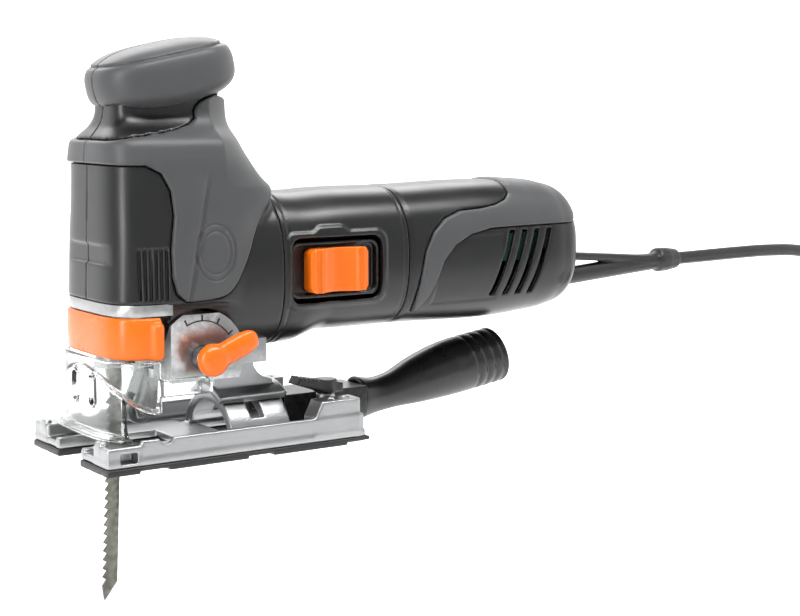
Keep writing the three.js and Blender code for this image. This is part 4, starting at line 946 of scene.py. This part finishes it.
def clamp_lever(x, y, z):
    """A ridged thumb lever that wedges the foot's clamp."""
    arm = outline(x, z, [(37, 27.5), (39, 31), (62, 26.5), (62, 22.3), (52, 22.3)])
    body = common(arm + 0 * y, between(y, -25, -15), 0.9)
    hub = common(disc(x, y, (55, -20), 5.5) + 0 * z, between(z, 22.3, 28.5), 0.7)
    body = fuse(body, hub, 0.8)
    top = 29.9 - 0.196 * (x - 39)
    ridge = np.maximum(np.abs((x + 100) % 2.4 - 1.2) - 0.5, np.maximum(x - 52, top - z)) + 0 * y
    return carve(body, ridge, 0.3)


moulded("clamp_lever_visual", clamp_lever, "foot_clamp_lever", 0.45, "dark_plastic", "tilt_clamp")

# %% [markdown]
# ## Orbital control
# An orange lever sets how far the blade swings forward. It is a ball with a thumb wing, on a
# steel shaft that turns the cam inside the gearbox.

# %% Orbital lever
def orbital_lever(x, y, z):
    """A ball flattened along its shaft, run together with a lozenge wing."""
    u, w = x - ARCH[0], z - ARCH[1]
    ball = (np.sqrt((u / 7.3) ** 2 + ((y + 42) / 5.4) ** 2 + (w / 7.3) ** 2) - 1) * 5.4
    cos, sin = math.cos(math.radians(22)), math.sin(math.radians(22))
    a, b = u * cos + w * sin, w * cos - u * sin
    flat = (np.abs((a - 12.2) / 11.4) ** 3 + np.abs(b / 5.3) ** 3) ** (1 / 3)
    wing = ((flat ** 2.4 + np.abs((y + 42) / 3.6) ** 2.4) ** (1 / 2.4) - 1) * 4.0
    body = fuse(ball, wing, 1.4)
    body = common(body, between(y, -46.5, -37), 0.6)
    return carve(body, np.maximum(disc(x, z, ARCH, 3.5), -41.3 - y), 0.3)


moulded("orbital_lever_visual", orbital_lever, "orbital_lever", 0.5, "orange_plastic", "orbit_control")

# %% [markdown]
# ## Dust nozzle
# A bent black tube carries chips from under the foot to a hose. It widens to the hose's size and
# its mouth has ribs that grip the hose.

# %% Nozzle
NOZZLE_AT = [84.3, 94, 104, 119, 135, 170]
NOZZLE_Z = [13, 13.5, 15, 18.5, 22, 27.5]
NOZZLE_HALF = [11, 9, 9, 11.5, 13.5, 14.2]


def nozzle(x, y, z):
    """A round tube about a rising curve, its rings leaning back, with four ribs at the mouth."""
    lean = 0.22 * np.clip((x - 84.3) / 35, 0, 1)
    across = x + lean * (z - through(x, NOZZLE_AT, NOZZLE_Z))
    middle, half = through(across, NOZZLE_AT, NOZZLE_Z), through(across, NOZZLE_AT, NOZZLE_HALF)
    tube = np.hypot(y, z - middle) - half
    ribs = 0.75 * np.exp(-(((across - 148.5) % 5.4 - 2.7) / 0.95) ** 2) * (across > 148.5) * (across < 170)
    outside = tube + ribs
    body = common(outside, between(across, 84.3, 170), 1.0)
    return carve(body, tube + 2.4, 0.6)


moulded("dust_nozzle_visual", nozzle, "dust_nozzle", 0.7, "dark_plastic", "foot")

# %% [markdown]
# ## Cord guard and plug
# The lead leaves through a rubber sleeve. A strap above it makes a loop to hang the tool from,
# and both end in a collar. The lead ends in a moulded plug with two round pins.

# %% Cord guard
def cord_guard(x, y, z):
    """Tapered sleeve, flat strap and collar, run together."""
    t = np.clip((x - 206) / 82, 0, 1)
    sleeve = np.hypot(y, z - (64.5 + 5.8 * t)) - (4.7 - 0.1 * t)
    sleeve = common(sleeve, between(x, 197.4, 290), 0.6)
    strap = (np.abs(y / 4.2) ** 4 + np.abs((z - (77.4 - 6.7 * t)) / 2.1) ** 4) ** 0.25 - 1
    strap = common(strap * 2.1, between(x, 197.4, 290), 0.6)
    radius = 5.4 + 1.2 * np.clip((299 - x) / 9, 0, 1)
    collar = common(np.hypot(y, z - 70.5) - radius, between(x, 284, 299), 1.4)
    root = brick(x, y, z, (197.4, -5.6, 62), (201.9, 5.6, 81), 0.8)
    return fuse(fuse(fuse(sleeve, strap, 1.2), collar, 2.0), root, 1.0)


moulded("cord_guard_visual", cord_guard, "cord_guard", 0.7, "cord_rubber", "housing")


def mains_plug(x, y, z):
    """A moulded two-pin plug with finger recesses and a tapered relief."""
    u, v, w = x - COIL_X, y - COIL_Y, z + 27
    half = 7 + 11 * np.clip((u + 14) / 13, 0, 1) - 3.5 * np.clip((u - 14) / 14, 0, 1) ** 2
    grip = 1.3 * np.exp(-((u - 10) / 7) ** 2)
    body = common(common(np.abs(v) - half + grip, np.abs(w) - 9.6 + 0 * u, 5), between(u, -14, 28), 2.5)
    lines = 0.5 * (np.abs((u + 40) % 3.0 - 1.5) < 0.8) * (u > 2) * (u < 18) * (np.abs(w) < 6)
    body = body + 0.8 * lines * np.exp(-((np.abs(v) - 15) / 3) ** 2)
    relief = common(np.hypot(v, w) - (4.6 + 1.8 * np.clip((u + 34) / 21, 0, 1)), between(u, -34, -10), 0.5)
    relief = relief + 0.45 * (np.abs((u + 40) % 4.0 - 2.0) < 0.8) * (u < -16)
    return fuse(body, relief, 3.0)


moulded("mains_plug_visual", mains_plug, "mains_plug", 0.75, "cord_rubber", "housing")


def plug_pins(x, y, z):
    """Two round steel pins with domed ends."""
    reach = np.sqrt(np.maximum(x - 496.5, 0) ** 2 + (np.abs(y - COIL_Y) - 9.5) ** 2 + (z + 27) ** 2)
    return common(reach - 2.4, 479.8 - x, 0.3)


points, faces = net(plug_pins, np.array([478, COIL_Y - 14, -31]), np.array([501, COIL_Y + 14, -23]), 0.5)
make_piece("plug_pins_visual", points, faces, "machined_steel", "housing")

# %% [markdown]
# ## The lead
# The lead is 3.5 m of round rubber cable, 7.2 mm thick. It leaves the collar, falls to the floor
# in a long bend and lies in a tied coil of twelve turns, wound in four layers: in, out, in, out.
# Its end bends back over the coil into the plug.

# %% Power cord
def cord_path():
    """The cord's centre line in millimetres: route, coil (r and z against angle) and the bend to the plug."""
    route = np.array([(292, 0, 70.5), (299.3, 0, 70.5), (322, 0, 70.8), (348, 0, 71.2), (374, 0, 71.2),
                      (400, 0, 69.6), (424, 0, 64), (446, -0.5, 52), (465, -2, 34), (480, -4, 12),
                      (491, -7, -12), (500, -12, -35), (508, -20, -53), (509.2, COIL_Y + 20, -61.4),
                      (509.9, COIL_Y + 4, -63)])
    at = np.concatenate([[0], np.cumsum(np.linalg.norm(np.diff(route, axis=0), axis=1))])
    reach = np.linspace(0, at[-1], 60)
    lead = np.stack([through(reach, at, route[:, a]) for a in range(3)], 1)
    angle = np.arange(0, 4411, 9.0)
    radius = np.interp(angle, [0, 90, 1170, 1230, 2250, 2310, 3330, 3390, 4410],
                       [0, 50.4, 28.8, 28.8, 50.4, 50.4, 28.8, 28.8, 50.4])
    ease = np.clip(angle / 90, 0, 1)
    radius = np.where(angle < 90, 50.4 + 7.5 * (1 - ease * ease * (3 - 2 * ease)), radius)
    height = np.interp(angle, [1170, 1230, 2250, 2310, 3330, 3390], [-63, -55.8, -55.8, -48.6, -48.6, -41.4])
    turn = np.radians(angle)
    coil = np.stack([COIL_X + radius * np.cos(turn), COIL_Y - radius * np.sin(turn), height], 1)
    t = np.linspace(0.12, 1, 6)
    drift = np.stack([COIL_X - 34 * t, COIL_Y - 50.4 - 5.6 * t * t * (3 - 2 * t), -41.4 + 0 * t], 1)
    bend = np.radians(np.arange(8, 181, 8.0))
    rise = np.clip(bend / math.radians(115), 0, 1)
    back = np.stack([COIL_X - 34 - 28 * np.sin(bend), COIL_Y - 28 - 28 * np.cos(bend),
                     -41.4 + 14.4 * rise * rise * (3 - 2 * rise)], 1)
    end = np.array([(COIL_X - 30, COIL_Y, -27), (COIL_X - 22, COIL_Y, -27)])
    return np.concatenate([lead, coil[1:], drift, back, end])


path = cord_path() * MM
cord_curve = bpy.data.curves.new("power_cord_visual", "CURVE")
cord_curve.dimensions = "3D"
cord_curve.bevel_depth = 3.55 * MM
cord_curve.bevel_resolution = 3
cord_curve.use_fill_caps = True
line = cord_curve.splines.new("POLY")
line.points.add(len(path) - 1)
line.points.foreach_set("co", np.column_stack([path, np.ones(len(path))]).ravel())
line.use_smooth = True
cord_curve.materials.append(materials["cord_rubber"])
cord_object = bpy.data.objects.new("power_cord_visual", cord_curve)
bpy.context.scene.collection.objects.link(cord_object)
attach(cord_object, "housing")
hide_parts("power_cord", "cord_coil")
length = float(np.linalg.norm(np.diff(path, axis=0), axis=1).sum())
print("cord length", round(length, 3))

# %% [markdown]
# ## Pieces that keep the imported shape
# Machined parts are true prisms and cylinders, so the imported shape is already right. The ones
# that show get a small broken edge, as every turned or milled part has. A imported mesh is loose
# triangles, so a copy of it is merged and its flat faces are joined before the Bevel modifier
# rounds its edges. The pieces deep inside only take their finish.

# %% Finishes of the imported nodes
finish_of = {entry["node"]: entry["material_slot"] for entry in frame["record"]["subparts"]}
for node, made in frame["nodes"].items():
    for place in made.material_slots:
        place.link = "OBJECT"
        place.material = materials[finish_of[node]]
print("finished", len(frame["nodes"]), "packed nodes")


# %% Softened copies
def softened_copy(node, width):
    """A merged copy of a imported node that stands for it, its edges rounded by width in millimetres."""
    source = frame["nodes"][node]
    mesh = source.data.copy()
    mesh.name = node + "_visual"
    work = bmesh.new()
    work.from_mesh(mesh)
    bmesh.ops.remove_doubles(work, verts=work.verts, dist=1e-6)
    bmesh.ops.dissolve_limit(work, angle_limit=math.radians(1), verts=work.verts, edges=work.edges)
    bmesh.ops.recalc_face_normals(work, faces=work.faces)
    work.to_mesh(mesh)
    work.free()
    mesh.materials.clear()
    mesh.materials.append(materials[finish_of[node]])
    mesh.polygons.foreach_set("use_smooth", np.ones(len(mesh.polygons), bool))
    made = bpy.data.objects.new(node + "_visual", mesh)
    bpy.context.scene.collection.objects.link(made)
    bevel = made.modifiers.new("edges", "BEVEL")
    bevel.width = width * MM
    bevel.segments = 1 if width < 0.15 else 2
    bevel.limit_method = "ANGLE"
    bevel.angle_limit = math.radians(32)
    bevel.harden_normals = True
    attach(made, source["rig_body"])
    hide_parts(node)


EDGES = {"gearbox_housing": 0.5, "dust_channel": 0.6, "blade_clamp": 0.35, "saw_blade": 0.12,
         "clamp_bolt": 0.3, "clamp_nut": 0.3, "orbital_fork": 0.35, "orbital_cam": 0.35,
         "guide_roller": 0.3, "plunger": 0.3, "release_pin": 0.2}
for node, width in EDGES.items():
    softened_copy(node, width)
print("softened", len(EDGES))

# %% [markdown]
# ## Cord tie
# A flat rubber strap holds the coil together. It is a box less a smaller box, so its corners
# come out round like a real strap's.

# %% Cord tie
def cord_tie(x, y, z):
    """A flat strap round the bundle."""
    outside = brick(x, y, z, (446, COIL_Y - 56.2, -65.4), (458, COIL_Y - 21.2, -37.2), 1.4)
    inside = brick(x, y, z, (440, COIL_Y - 54.6, -69.6), (464, COIL_Y - 22.8, -37.5), 1.2)
    return carve(outside, inside, 0.3)


moulded("cord_tie_visual", cord_tie, "cord_tie", 0.6, "cord_rubber", "housing")

# %% [markdown]
# ## Small parts
# The joint between the shells is closed by five screws from the right. The orbital lever points
# at a printed arc with four marks. The speed dial is a ribbed wheel.

# %% Screws, marks and dial
def screw_heads(x, y, z):
    """Round heads with a six-lobed socket, one in each bore."""
    whole = 1e3
    for (px, pz), top in zip(SCREWS, (31.0, 31.0, 27.0, 16.8, 17.4)):
        reach, turn = np.hypot(x - px, z - pz), np.arctan2(z - pz, x - px)
        body = common(reach - 3.55, between(y, top - 3, top) + 0 * reach, 0.6)
        socket = np.maximum(reach - 1.55 - 0.35 * np.cos(6 * turn), top - 1.6 - y)
        whole = np.minimum(whole, carve(body, socket, 0.2))
    return whole


points, faces = net(screw_heads, np.array([-49, 12, 57]), np.array([21, 32, 161]), 0.55)
make_piece("case_screws_visual", points, faces, "machined_steel", "housing")


def scale_marks(x, y, z):
    """An arc line with four ticks on the cheek, a hair proud of it."""
    u, w = x - ARCH[0], z - ARCH[1]
    reach, turn = np.hypot(u, w), np.degrees(np.arctan2(w, u))
    arc = np.maximum(np.abs(reach - 16.2) - 0.28, np.abs(turn - 75) - 42)
    ticks = np.minimum.reduce([np.maximum(np.abs(u * math.sin(a) - w * math.cos(a)) - 0.42,
                                          np.maximum(np.abs(reach - 17.4) - 1.5, -w))
                               for a in np.radians([35, 62, 89, 116])])
    return common(np.minimum(arc, ticks), between(y, -31.8, -31.35), 0.05)


points, faces = net(scale_marks, np.array([-36, -32, 46]), np.array([4, -31, 68]), 0.24)
make_piece("orbit_marks_visual", points, faces, "dark_plastic", "housing")


def speed_dial(x, y, z):
    """A wheel with a ribbed rim."""
    reach, turn = np.hypot(x - 128, y - 24), np.arctan2(y - 24, x - 128)
    rim = reach - 10.75 - 0.28 * np.sign(np.cos(32 * turn)) * np.minimum(np.abs(np.cos(32 * turn)) * 2, 1)
    return common(rim, between(z, 81.4, 86.6) + 0 * reach, 0.7)


moulded("speed_dial_visual", speed_dial, "speed_dial", 0.42, "dark_plastic", "dial")
